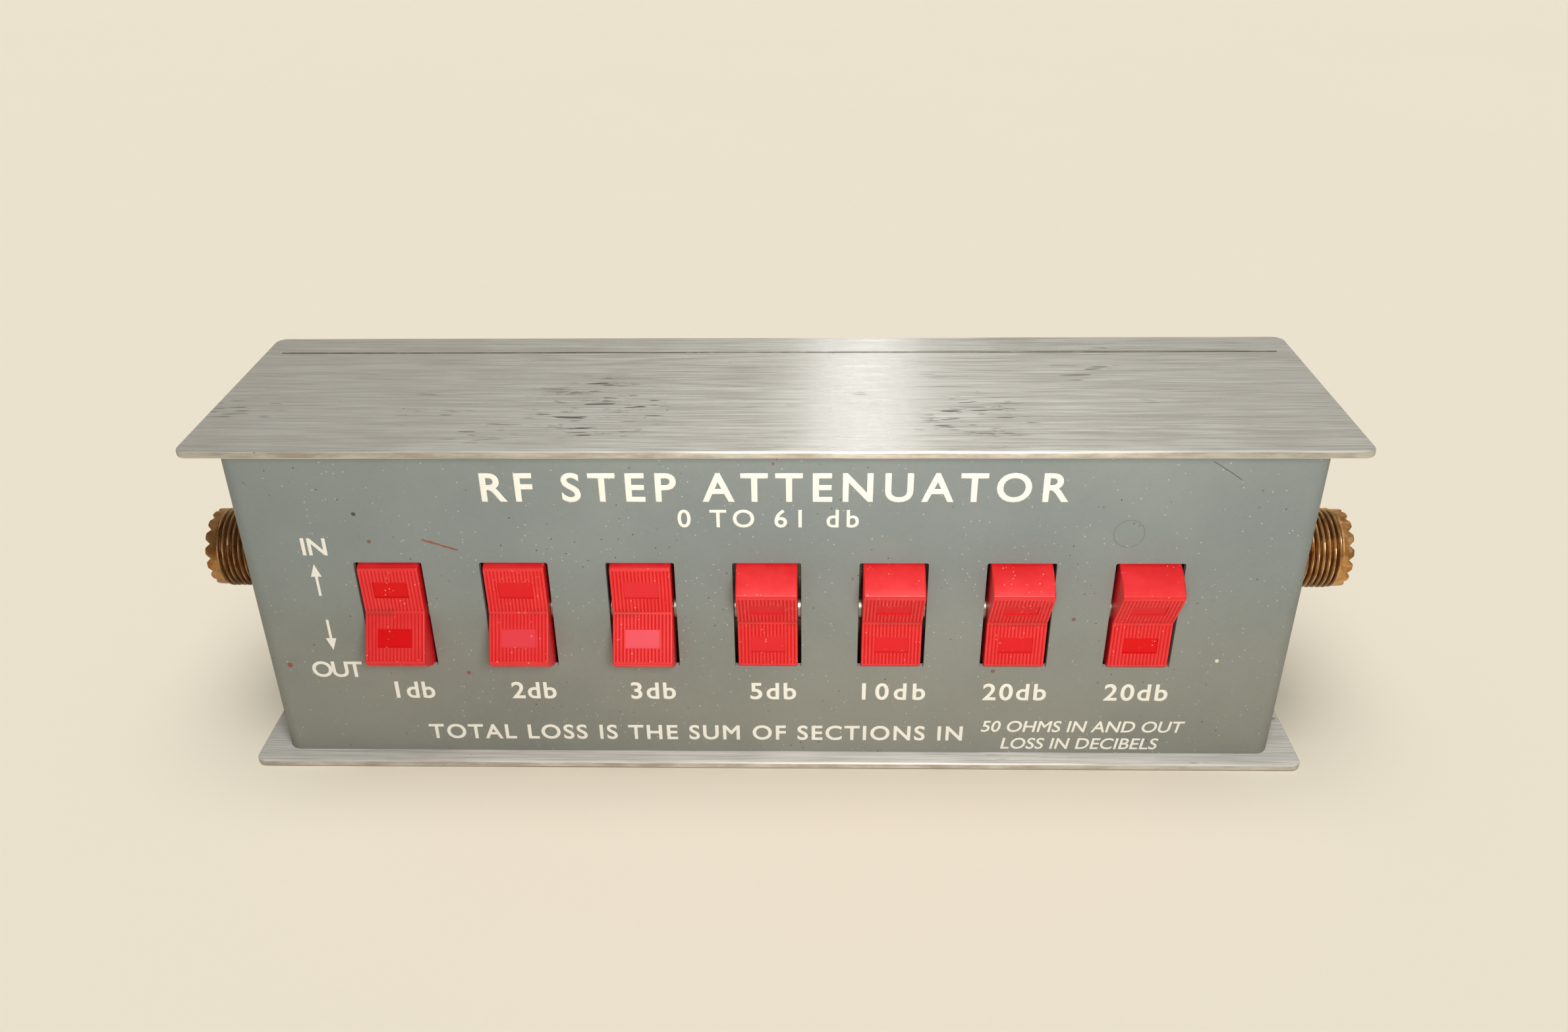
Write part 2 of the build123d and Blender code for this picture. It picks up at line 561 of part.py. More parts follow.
def build_slider(number):
    """Nylon slider with the slot that takes the rocker's arm and pegs for its contacts."""
    front = depth_plane(SLIDER_Y, switch_x(number), slider_z(number))
    rear = depth_plane(SLIDER_REAR_Y, switch_x(number), slider_z(number))
    with BuildPart() as slider:
        with BuildSketch(front):
            Rectangle(2 * SLIDER_HALF_WIDTH, 2 * SLIDER_HALF_HEIGHT)
        extrude(amount=SLIDER_DEPTH)
        chamfer(slider.edges().filter_by(Axis.Y), length=SLIDER_CHAMFER)
        with BuildSketch(front):
            Rectangle(2 * SLIDER_SLOT_HALF_WIDTH, 2 * SLIDER_SLOT_HALF_HEIGHT)
        extrude(amount=SLIDER_SLOT_DEPTH, mode=Mode.SUBTRACT)
        with BuildSketch(rear):
            with Locations((-TERMINAL_X, 0), (TERMINAL_X, 0)):
                Circle(SLIDER_PEG_RADIUS)
        extrude(amount=CONTACT_SHEET)
    save(slider, f"slider_{number}")


def build_slider_contacts(number):
    """Pair of sprung bronze bridges, each with two domes that wipe over the terminals."""
    sheet = depth_plane(SLIDER_REAR_Y, switch_x(number), slider_z(number))
    with BuildPart() as slider_contacts:
        with BuildSketch(sheet):
            with Locations((-TERMINAL_X, 0), (TERMINAL_X, 0)):
                RectangleRounded(CONTACT_WIDTH, CONTACT_LENGTH, CONTACT_WIDTH / 4)
                Circle(SLIDER_PEG_RADIUS, mode=Mode.SUBTRACT)
        extrude(amount=CONTACT_SHEET)
        with BuildSketch(sheet.offset(CONTACT_SHEET)):
            with GridLocations(2 * TERMINAL_X, CONTACT_DOME_SPACING, 2, 2):
                Circle(CONTACT_DOME_RADIUS)
        extrude(amount=CONTACT_DOME_HEIGHT)
    save(slider_contacts, f"slider_contacts_{number}")


def build_switch_frame(number):
    """Pressed steel frame: face plate, two ears that carry the rocker, two clasping skirts."""
    ear_inner = ROCKER_WIDTH / 2 + EAR_CLEARANCE
    skirt_inner = BASE_HALF_WIDTH + EAR_CLEARANCE
    skirt_length = BASE_REAR_Y + SKIRT_SHEET - BRACKET_Y
    with BuildPart() as switch_frame:
        with BuildSketch(depth_plane(FRAME_Y, switch_x(number), ROW_CENTRE_Z)):
            RectangleRounded(2 * FRAME_HALF_WIDTH, 2 * FRAME_HALF_HEIGHT, FRAME_CORNER)
            Rectangle(2 * ARM_WINDOW_HALF_WIDTH, 2 * ARM_WINDOW_HALF_HEIGHT, mode=Mode.SUBTRACT)
            with Locations((0, RIVET_Z), (0, -RIVET_Z)):
                Circle(RIVET_RADIUS, mode=Mode.SUBTRACT)
        extrude(amount=FRAME_SHEET)
        for side in (-1, 1):
            ear_x = switch_x(number) + side * ear_inner
            with BuildSketch(side_plane(ear_x, PIVOT_Y, ROW_CENTRE_Z)):
                Polygon(
                    (0, -EAR_RADIUS),
                    (FRAME_FRONT - PIVOT_DEPTH, -EAR_FOOT_HALF),
                    (FRAME_FRONT - PIVOT_DEPTH, EAR_FOOT_HALF),
                    (0, EAR_RADIUS),
                    align=None,
                )
                Circle(EAR_RADIUS)
                Circle(TRUNNION_RADIUS + EAR_BORE_CLEARANCE, mode=Mode.SUBTRACT)
            extrude(amount=side * EAR_SHEET)
            skirt_x = switch_x(number) + side * skirt_inner
            with BuildSketch(side_plane(skirt_x, BRACKET_Y, ROW_CENTRE_Z)):
                with Locations((skirt_length / 2, 0)):
                    Rectangle(skirt_length, 2 * SKIRT_HALF_HEIGHT)
            extrude(amount=side * SKIRT_SHEET)
            tab_x = -side * (skirt_inner + SKIRT_SHEET - SKIRT_TAB / 2)
            with BuildSketch(depth_plane(BASE_REAR_Y, switch_x(number), ROW_CENTRE_Z)):
                with Locations((tab_x, 0)):
                    Rectangle(SKIRT_TAB, 2 * SKIRT_HALF_HEIGHT)
            extrude(amount=SKIRT_SHEET)
    save(switch_frame, f"switch_frame_{number}")


TERMINALS = [(x, row * TERMINAL_PITCH) for x in (-TERMINAL_X, TERMINAL_X) for row in (-1, 0, 1)]


def build_switch_base(number):
    """Phenolic tray that holds the terminals and lets the slider run."""
    front = depth_plane(BRACKET_Y, switch_x(number), ROW_CENTRE_Z)
    floor = depth_plane(BASE_FLOOR_Y, switch_x(number), ROW_CENTRE_Z)
    with BuildPart() as switch_base:
        with BuildSketch(front):
            Rectangle(2 * BASE_HALF_WIDTH, 2 * BASE_HALF_HEIGHT)
        extrude(amount=BASE_DEPTH)
        with BuildSketch(front):
            Rectangle(2 * (BASE_HALF_WIDTH - BASE_WALL), 2 * (BASE_HALF_HEIGHT - BASE_WALL))
        extrude(amount=BASE_DEPTH - BASE_FLOOR, mode=Mode.SUBTRACT)
        with BuildSketch(floor):
            with Locations(*TERMINALS):
                Circle(TERMINAL_HEAD_RADIUS)
        extrude(amount=TERMINAL_HEAD_HEIGHT, mode=Mode.SUBTRACT)
        with BuildSketch(floor):
            with Locations(*TERMINALS):
                Circle(TERMINAL_SHANK_RADIUS)
        extrude(amount=BASE_FLOOR, mode=Mode.SUBTRACT)
    save(switch_base, f"switch_base_{number}")


for number in SWITCH_NUMBERS:
    build_rocker(number)
    build_slider(number)
    build_slider_contacts(number)
    build_switch_frame(number)
    build_switch_base(number)

# ---- solder terminals: a flush head, a shank through the base, a flange and a pierced blade -----
with BuildPart() as terminals:
    for number in SWITCH_NUMBERS:
        with BuildSketch(depth_plane(BASE_FLOOR_Y, switch_x(number), ROW_CENTRE_Z)):
            with Locations(*TERMINALS):
                Circle(TERMINAL_HEAD_RADIUS)
        extrude(amount=TERMINAL_HEAD_HEIGHT)
        with BuildSketch(depth_plane(BASE_FLOOR_Y, switch_x(number), ROW_CENTRE_Z)):
            with Locations(*TERMINALS):
                Circle(TERMINAL_SHANK_RADIUS)
        extrude(amount=BASE_FLOOR)
        with BuildSketch(depth_plane(BASE_REAR_Y, switch_x(number), ROW_CENTRE_Z)):
            with Locations(*TERMINALS):
                Rectangle(BLADE_WIDTH, BLADE_WIDTH)
        extrude(amount=TERMINAL_FLANGE)
        for column, _ in TERMINALS[::3]:
            blade_x = switch_x(number) - column - BLADE_SHEET / 2
            with BuildSketch(side_plane(blade_x, BLADE_Y, ROW_CENTRE_Z)):
                with Locations((BLADE_LENGTH / 2, 0)):
                    with GridLocations(TERMINAL_PITCH, TERMINAL_PITCH, 1, 3):
                        Rectangle(BLADE_LENGTH, BLADE_WIDTH)
                for hole in (NEAR_HOLE, FAR_HOLE):
                    with Locations((hole, 0)):
                        with GridLocations(TERMINAL_PITCH, TERMINAL_PITCH, 1, 3):
                            Circle(BLADE_HOLE_RADIUS, mode=Mode.SUBTRACT)
            extrude(amount=BLADE_SHEET)
save(terminals, "terminals")


def series_place(number):
    """Centre of the series resistor of a section."""
    return Vector(switch_x(number), BLADE_Y + FAR_HOLE + SERIES_BEHIND, ROW_CENTRE_Z - SERIES_DROP)


def shunt_place(number, side):
    """Centre of a shunt resistor of a section; side is -1 for the input end, 1 for the output."""
    return Vector(switch_x(number) + side * SHUNT_X, BLADE_Y + NEAR_HOLE, ROW_CENTRE_Z - SHUNT_DROP)


# ---- resistors: one series and two shunts in each section's pi network --------------------------
with BuildPart() as resistors:
    for number in SWITCH_NUMBERS:
        centre = series_place(number)
        with BuildSketch(side_plane(centre.X, centre.Y, centre.Z)):
            Circle(RESISTOR_RADIUS)
        extrude(amount=RESISTOR_LENGTH / 2, both=True)
        for side in (-1, 1):
            centre = shunt_place(number, side)
            with BuildSketch(Plane.XY.offset(centre.Z)):
                with Locations((centre.X, centre.Y)):
                    Circle(RESISTOR_RADIUS)
            extrude(amount=RESISTOR_LENGTH / 2, both=True)
    fillet(resistors.edges().filter_by(GeomType.CIRCLE), radius=RESISTOR_END_RADIUS)
save(resistors, "resistors")


def wire(points, radius):
    """Round wire that follows straight runs between the points."""
    with BuildPart() as strand:
        with BuildLine() as path:
            Polyline(*points)
        with BuildSketch(Plane(origin=path.line @ 0, z_dir=path.line % 0)):
            Circle(radius)
        sweep(path=path.line, transition=Transition.ROUND)
    return strand.part


# ---- resistor leads: to the lugs at one end, and to the bracket at the shunts' other end --------
lead_strands = []
for number in SWITCH_NUMBERS:
    lug_z = ROW_CENTRE_Z - TERMINAL_PITCH
    for side in (-1, 1):
        centre = series_place(number)
        bend_x = centre.X + side * SERIES_SPREAD
        lug_x = centre.X + side * TERMINAL_X
        series_lead = [
            (centre.X + side * RESISTOR_LENGTH / 2, centre.Y, centre.Z),
            (bend_x, centre.Y, centre.Z),
            (bend_x, BLADE_Y + FAR_HOLE, lug_z),
            (lug_x - side * WIRE_OVERRUN, BLADE_Y + FAR_HOLE, lug_z),
        ]
        centre = shunt_place(number, side)
        shunt_lead = [
            (centre.X, centre.Y, centre.Z + RESISTOR_LENGTH / 2),
            (centre.X, centre.Y, lug_z),
            (lug_x - side * WIRE_OVERRUN, centre.Y, lug_z),
        ]
        ground_x = switch_x(number) + side * SHUNT_GROUND_X
        ground_z = ROW_CENTRE_Z - SHUNT_GROUND_DROP
        ground_lead = [
            (centre.X, centre.Y, centre.Z - RESISTOR_LENGTH / 2),
            (centre.X, centre.Y, ground_z),
            (ground_x, BRACKET_REAR_Y + 2 * LEAD_RADIUS, ground_z),
            (ground_x, BRACKET_REAR_Y, ground_z),
        ]
        for points in (series_lead, shunt_lead, ground_lead):
            lead_strands.append(wire(points, LEAD_RADIUS))

with BuildPart() as resistor_leads:
    add(lead_strands)
save(resistor_leads, "resistor_leads")

# ---- tinned copper links: bypass links, links between sections, and the leads to both sockets ---
PLUG_TAIL = SHEET + INNER_FLANGE_THICKNESS + INNER_BOSS_LENGTH + INSULATOR_TAIL
SOCKET_TAIL = PLUG_TAIL + CONTACT_TAIL_LENGTH
LINK_Y = BLADE_Y + FAR_HOLE

link_strands = []
for number in SWITCH_NUMBERS:
    bypass_z = ROW_CENTRE_Z + TERMINAL_PITCH
    bypass_reach = TERMINAL_X + WIRE_OVERRUN
    bypass_link = [(switch_x(number) + end * bypass_reach, LINK_Y, bypass_z) for end in (-1, 1)]
    link_strands.append(wire(bypass_link, LINK_RADIUS))
for number in range(1, SWITCH_COUNT):
    start_x = switch_x(number) + TERMINAL_X - WIRE_OVERRUN
    end_x = switch_x(number + 1) - TERMINAL_X + WIRE_OVERRUN
    section_link = [(start_x, LINK_Y, ROW_CENTRE_Z), (end_x, LINK_Y, ROW_CENTRE_Z)]
    link_strands.append(wire(section_link, LINK_RADIUS))
for side, number in ((-1, 1), (1, SWITCH_COUNT)):
    lug_x = switch_x(number) + side * TERMINAL_X
    tail_x = WALL_X - SOCKET_TAIL
    socket_lead = [
        (side * (tail_x + SOLDER_CUP_LENGTH), 0, SOCKET_Z),
        (side * (tail_x - 2 * SOLDER_CUP_LENGTH / 3), 0, SOCKET_Z),
        (lug_x + side * 2 * WIRE_OVERRUN, LINK_Y, ROW_CENTRE_Z),
        (lug_x - side * WIRE_OVERRUN, LINK_Y, ROW_CENTRE_Z),
    ]
    link_strands.append(wire(socket_lead, LINK_RADIUS))

with BuildPart() as link_wires:
    add(link_strands)
save(link_wires, "link_wires")


# ---- coaxial sockets, one in each end wall ------------------------------------------------------
def socket_plane(side, outward):
    """Plane that faces out of an end wall, at a distance outward from the wall's outer face."""
    origin = (side * (WALL_X + outward), 0, SOCKET_Z)
    return Plane(origin=origin, x_dir=(0, side, 0), z_dir=(side, 0, 0))


def build_socket_shell(side, name):
    """Brass barrel with a flange inside the wall, an undercut beyond the nut and a notched rim."""
    free_start = WASHER_THICKNESS + SOCKET_NUT_THICKNESS + UNDERCUT_WIDTH
    flange_start = -SHEET - INNER_FLANGE_THICKNESS
    with BuildPart() as socket_shell:
        with BuildSketch(socket_plane(side, flange_start - INNER_BOSS_LENGTH)):
            Circle(INNER_BOSS_RADIUS)
        extrude(amount=INNER_BOSS_LENGTH)
        with BuildSketch(socket_plane(side, flange_start)):
            Circle(INNER_FLANGE_RADIUS)
        extrude(amount=INNER_FLANGE_THICKNESS)
        with BuildSketch(socket_plane(side, -SHEET)):
            Circle(BARREL_RADIUS)
        extrude(amount=SHEET + SOCKET_REACH)
        with BuildSketch(socket_plane(side, free_start - UNDERCUT_WIDTH)):
            Circle(BARREL_RADIUS + CUT_MARGIN)
            Circle(UNDERCUT_RADIUS, mode=Mode.SUBTRACT)
        extrude(amount=UNDERCUT_WIDTH, mode=Mode.SUBTRACT)
        with BuildSketch(socket_plane(side, flange_start - INNER_BOSS_LENGTH)):
            Circle(BARREL_BORE_RADIUS)
        extrude(amount=SOCKET_REACH - flange_start + INNER_BOSS_LENGTH, mode=Mode.SUBTRACT)
        notch_half = CASTELLATION_DEPTH * tan(radians(CASTELLATION_HALF_ANGLE))
        for step in range(CASTELLATIONS):
            turn = step * 360 / CASTELLATIONS
            radial = socket_plane(side, SOCKET_REACH).rotated((0, 0, turn))
            notch = Plane(origin=radial.origin, x_dir=radial.y_dir, z_dir=radial.x_dir)
            with BuildSketch(notch.offset(BARREL_BORE_RADIUS - CUT_MARGIN)):
                Polygon(
                    (-notch_half, 0),
                    (0, -CASTELLATION_DEPTH),
                    (notch_half, 0),
                    align=None,
                )
            extrude(amount=BARREL_RADIUS - BARREL_BORE_RADIUS + 2 * CUT_MARGIN, mode=Mode.SUBTRACT)
    save(socket_shell, name)


def build_socket_insulator(side, name):
    """Dielectric plug that centres the contact in the barrel."""
    with BuildPart() as socket_insulator:
        with BuildSketch(socket_plane(side, -PLUG_TAIL)):
            Circle(BARREL_BORE_RADIUS)
            Circle(CONTACT_RADIUS, mode=Mode.SUBTRACT)
        extrude(amount=SOCKET_REACH - INSULATOR_RECESS + PLUG_TAIL)
    save(socket_insulator, name)


def build_socket_contact(side, name):
    """Centre contact: slotted sleeve in front, solder cup behind."""
    sleeve_end = SOCKET_REACH - CONTACT_MOUTH_RECESS
    with BuildPart() as socket_contact:
        with BuildSketch(socket_plane(side, -PLUG_TAIL)):
            Circle(CONTACT_RADIUS)
        extrude(amount=sleeve_end + PLUG_TAIL)
        with BuildSketch(socket_plane(side, sleeve_end - CONTACT_BORE_LENGTH)):
            Circle(CONTACT_BORE_RADIUS)
        extrude(amount=CONTACT_BORE_LENGTH, mode=Mode.SUBTRACT)
        with BuildSketch(socket_plane(side, sleeve_end - CONTACT_SLOT_LENGTH)):
            Rectangle(2 * CONTACT_RADIUS, CONTACT_SLOT_WIDTH)
            Rectangle(CONTACT_SLOT_WIDTH, 2 * CONTACT_RADIUS)
        extrude(amount=CONTACT_SLOT_LENGTH, mode=Mode.SUBTRACT)
        with BuildSketch(socket_plane(side, -PLUG_TAIL - CONTACT_TAIL_LENGTH)):
            Circle(CONTACT_TAIL_RADIUS)
        extrude(amount=CONTACT_TAIL_LENGTH)
        with BuildSketch(socket_plane(side, -PLUG_TAIL - CONTACT_TAIL_LENGTH)):
            Circle(SOLDER_CUP_RADIUS)
        extrude(amount=SOLDER_CUP_LENGTH, mode=Mode.SUBTRACT)
    save(socket_contact, name)


for side, end in ((-1, "left"), (1, "right")):
    build_socket_shell(side, f"socket_shell_{end}")
    build_socket_insulator(side, f"socket_insulator_{end}")
    build_socket_contact(side, f"socket_contact_{end}")

with BuildPart() as socket_washers:
    for side in (-1, 1):
        with BuildSketch(socket_plane(side, 0)):
            Circle(WASHER_RADIUS)
            Circle(BARREL_RADIUS, mode=Mode.SUBTRACT)
            with PolarLocations(WASHER_RADIUS, WASHER_TEETH):
                Circle(WASHER_TOOTH_NOTCH, mode=Mode.SUBTRACT)
        extrude(amount=WASHER_THICKNESS)
save(socket_washers, "socket_washers")

with BuildPart() as socket_nuts:
    for side in (-1, 1):
        with BuildSketch(socket_plane(side, WASHER_THICKNESS)):
            RegularPolygon(SOCKET_NUT_FLATS / 2, 6, major_radius=False)
            Circle(BARREL_RADIUS, mode=Mode.SUBTRACT)
        extrude(amount=SOCKET_NUT_THICKNESS)
save(socket_nuts, "socket_nuts")
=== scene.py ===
"""Looks for the seven-section step attenuator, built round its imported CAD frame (metres, +Z up)."""
import json
import math

import bpy
import numpy as np
from mathutils import Matrix, Vector


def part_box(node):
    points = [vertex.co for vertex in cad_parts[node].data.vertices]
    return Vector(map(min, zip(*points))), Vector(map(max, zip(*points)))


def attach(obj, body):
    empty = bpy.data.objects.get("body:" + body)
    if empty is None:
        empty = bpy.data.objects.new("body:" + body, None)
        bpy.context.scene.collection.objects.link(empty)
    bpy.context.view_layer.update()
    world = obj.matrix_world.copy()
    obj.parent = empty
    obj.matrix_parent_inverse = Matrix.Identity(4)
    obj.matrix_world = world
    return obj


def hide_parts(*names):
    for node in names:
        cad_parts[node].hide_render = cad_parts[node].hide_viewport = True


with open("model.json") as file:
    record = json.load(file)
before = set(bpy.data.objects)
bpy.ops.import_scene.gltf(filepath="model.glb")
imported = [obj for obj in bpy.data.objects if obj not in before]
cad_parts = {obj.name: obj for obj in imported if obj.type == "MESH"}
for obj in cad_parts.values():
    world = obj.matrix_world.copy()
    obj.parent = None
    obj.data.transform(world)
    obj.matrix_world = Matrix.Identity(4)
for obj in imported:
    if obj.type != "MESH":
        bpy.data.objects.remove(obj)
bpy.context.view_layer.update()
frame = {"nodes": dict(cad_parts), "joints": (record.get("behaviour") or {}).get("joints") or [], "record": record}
nodes = frame["nodes"]
MM = 0.001
SWITCHES = range(1, 8)


# ---- places read from the frame -----------------------------------------------------------------
PLATE_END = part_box("top_plate")[1]
PANEL_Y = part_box("front_shell")[0].y
WALL_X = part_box("front_shell")[1].x
PLATE_TOP_Z = PLATE_END.z
SCORE_Y = PLATE_END.y - 8.0 * MM
SCORE_END_X = PLATE_END.x - 3.6 * MM


def joint(name):
    """The record's entry for one joint."""
    return next(j for j in frame["joints"] if j["name"] == name)


def mount(name):
    """The record's entry for one mount."""
    return next(m for m in frame["record"]["mounts"] if m["name"] == name)


PIVOTS = {n: Vector(joint(f"rocker_{n}_tilt")["pos_m"]) for n in SWITCHES}
REST_TILT = {n: math.radians(-sum(joint(f"rocker_{n}_tilt")["range_deg"]) / 2) for n in SWITCHES}
FACE_ANGLE = math.radians(15.0)
VALLEY_OUT = 4.5 * MM
SOCKET_CENTRE = Vector(mount("socket_right_barrel")["pos_m"])
BARREL_RADIUS = mount("socket_right_barrel")["dims"]["r_mm"] * MM
BORE_RADIUS = 6.1 * MM
SOCKET_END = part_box("socket_shell_right")[1].x
RIM_START = SOCKET_END - 2.1 * MM


# ---- material building blocks -------------------------------------------------------------------
class Finish:
    """One node material, with short calls for the nodes that every finish here uses."""

    def __init__(self, name, roughness=0.5, metallic=0.0):
        self.material = bpy.data.materials.new(name)
        self.material.use_nodes = True
        self.tree = self.material.node_tree
        self.shader = self.tree.nodes["Principled BSDF"]
        self.place = self.tree.nodes.new("ShaderNodeTexCoord").outputs["Object"]
        self.set("Roughness", roughness)
        self.set("Metallic", metallic)

    def set(self, socket, value):
        """Gives a socket of the shader a value, or links an output into it."""
        self.feed(self.shader.inputs[socket], value)

    def feed(self, socket, value):
        """Links an output into a socket, or sets its default."""
        if isinstance(value, bpy.types.NodeSocket):
            self.tree.links.new(value, socket)
        elif isinstance(value, (tuple, list)) and len(socket.default_value) == 4:
            socket.default_value = (*value[:3], 1.0)
        else:
            socket.default_value = value

    def stretch(self, scale, turn=(0.0, 0.0, 0.0)):
        """Object coordinates in metres, turned and scaled per axis."""
        mapping = self.tree.nodes.new("ShaderNodeMapping")
        mapping.inputs["Rotation"].default_value = turn
        mapping.inputs["Scale"].default_value = scale
        self.tree.links.new(self.place, mapping.inputs["Vector"])
        return mapping.outputs["Vector"]

    def noise(self, scale, detail=3.0, rough=0.55, at=None, distort=0.0):
        """Noise height from 0 to 1 at a frequency per metre, or in stretched coordinates."""
        texture = self.tree.nodes.new("ShaderNodeTexNoise")
        self.feed(texture.inputs["Vector"], at or self.place)
        texture.inputs["Scale"].default_value = scale
        texture.inputs["Detail"].default_value = detail
        texture.inputs["Roughness"].default_value = rough
        texture.inputs["Distortion"].default_value = distort
        return texture.outputs["Fac"]

    def cells(self, scale, at=None, feature="F1"):
        """Distance to the nearest cell point, for specks and pits."""
        texture = self.tree.nodes.new("ShaderNodeTexVoronoi")
        texture.feature = feature
        self.feed(texture.inputs["Vector"], at or self.place)
        texture.inputs["Scale"].default_value = scale
        return texture.outputs["Distance"]

    def band(self, value, low, high):
        """Smooth step of a value: 0 below low, 1 above high. Reversed limits give the inverse."""
        node = self.tree.nodes.new("ShaderNodeMapRange")
        node.interpolation_type = "SMOOTHSTEP"
        flip = low > high
        self.feed(node.inputs["Value"], value)
        node.inputs["From Min"].default_value = min(low, high)
        node.inputs["From Max"].default_value = max(low, high)
        node.inputs["To Min"].default_value = 1.0 if flip else 0.0
        node.inputs["To Max"].default_value = 0.0 if flip else 1.0
        return node.outputs["Result"]

    def remap(self, value, low, high):
        """Value from 0..1 to low..high."""
        node = self.tree.nodes.new("ShaderNodeMapRange")
        self.feed(node.inputs["Value"], value)
        node.inputs["To Min"].default_value = low
        node.inputs["To Max"].default_value = high
        return node.outputs["Result"]

    def math(self, operation, a, b=0.0):
        """One arithmetic node."""
        node = self.tree.nodes.new("ShaderNodeMath")
        node.operation = operation
        self.feed(node.inputs[0], a)
        self.feed(node.inputs[1], b)
        return node.outputs["Value"]

    def axis(self, vector, letter):
        """One coordinate of a vector."""
        node = self.tree.nodes.new("ShaderNodeSeparateXYZ")
        self.feed(node.inputs["Vector"], vector)
        return node.outputs[letter]

    def normal(self, letter):
        """One coordinate of the surface's own normal."""
        geometry = self.tree.nodes.new("ShaderNodeNewGeometry")
        return self.axis(geometry.outputs["True Normal"], letter)

    def mix(self, share, a, b):
        """Colour between a and b."""
        node = self.tree.nodes.new("ShaderNodeMix")
        node.data_type = "RGBA"
        self.feed(next(i for i in node.inputs if i.name == "Factor" and i.type == "VALUE"), share)
        self.feed(next(i for i in node.inputs if i.name == "A" and i.type == "RGBA"), a)
        self.feed(next(i for i in node.inputs if i.name == "B" and i.type == "RGBA"), b)
        return next(o for o in node.outputs if o.type == "RGBA")

    def both(self, a, b):
        """Mask where both masks hold."""
        return self.math("MULTIPLY", a, b)

    def either(self, a, b):
        """Mask where one of two masks holds."""
        return self.math("MAXIMUM", a, b)

    def local(self, centre, turn=(0.0, 0.0, 0.0), size=(1.0, 1.0, 1.0)):
        """Object coordinates seen from a place, in that place's own turn and size."""
        mapping = self.tree.nodes.new("ShaderNodeMapping")
        mapping.vector_type = "TEXTURE"
        mapping.inputs["Location"].default_value = centre
        mapping.inputs["Rotation"].default_value = turn
        mapping.inputs["Scale"].default_value = size
        self.tree.links.new(self.place, mapping.inputs["Vector"])
        return mapping.outputs["Vector"]

    def distance(self, a, b):
        """Length of the right-angled pair a, b."""
        square = self.math("ADD", self.math("MULTIPLY", a, a), self.math("MULTIPLY", b, b))
        return self.math("SQRT", square)

    def direction(self, x, y, z):
        """A fixed direction."""
        node = self.tree.nodes.new("ShaderNodeCombineXYZ")
        for letter, value in zip("XYZ", (x, y, z)):
            node.inputs[letter].default_value = value
        return node.outputs["Vector"]

    def near(self, centre, reach, fade=0.4):
        """Soft round patch about a place, with a ragged edge."""
        at = self.local(centre)
        away = self.distance(self.axis(at, "Y"), self.axis(at, "Z"))
        away = self.distance(self.axis(at, "X"), away)
        uneven = self.math("MULTIPLY", self.noise(1.5 / reach, 4.0, 0.6), reach * 0.8)
        return self.band(self.math("ADD", away, uneven), reach * 1.4, reach * (1.4 - fade))

    def bump(self, height, depth, strength=1.0, after=None):
        """Bump of a given depth in metres, on top of another bump if one is given."""
        node = self.tree.nodes.new("ShaderNodeBump")
        node.inputs["Strength"].default_value = strength
        node.inputs["Distance"].default_value = depth
        self.feed(node.inputs["Height"], height)
        if after is not None:
            self.feed(node.inputs["Normal"], after)
        return node.outputs["Normal"]


# ---- finishes -----------------------------------------------------------------------------------
# Noise and cell scales are per metre; the two numbers of a band are the ends of a soft threshold.
# Centre and reach of the two scuffed patches on the top plate.
SCUFFED = [((-0.032, -0.008, PLATE_TOP_Z), 0.016), ((0.036, -0.014, PLATE_TOP_Z), 0.013)]
BRUSH_DARK = (0.575, 0.57, 0.54)
BRUSH_LIGHT = (0.88, 0.875, 0.835)
# Dark colour of the scuffs, nicks and pits, also used as painted shade for the scored line.
SCUFF_AND_SHADE_COLOUR = (0.075, 0.068, 0.06)


def score_shade_mask(f):
    """Mask of the broken dark line scored along the top plate near its rear edge, painted shade for its groove."""
    away = f.math("ABSOLUTE", f.math("SUBTRACT", f.axis(f.place, "Y"), SCORE_Y))
    line = f.band(away, 0.44 * MM, 0.24 * MM)
    breaks = f.band(f.noise(1.0, 3.0, 0.6, at=f.stretch((260, 20, 20))), 0.38, 0.50)
    line = f.both(line, f.remap(breaks, 0.65, 1.0))
    on_top = f.band(f.axis(f.place, "Z"), PLATE_TOP_Z - 1.0 * MM, PLATE_TOP_Z - 0.5 * MM)
    side = f.math("ABSOLUTE", f.axis(f.place, "X"))
    ends = f.band(side, SCORE_END_X + 0.2 * MM, SCORE_END_X - 0.2 * MM)
    return f.both(line, f.both(on_top, ends))


def nick_mask(f):
    """Mask of short straight nicks that lie across the brushing in two directions."""
    one_way = f.noise(1.0, 1.0, 0.5, at=f.stretch((130, 1000, 1000), (0, 0, 1.0)))
    other_way = f.noise(1.0, 1.0, 0.5, at=f.stretch((150, 1100, 1100), (0, 0, -0.8)))
    return f.either(f.band(one_way, 0.66, 0.72), f.band(other_way, 0.66, 0.72))


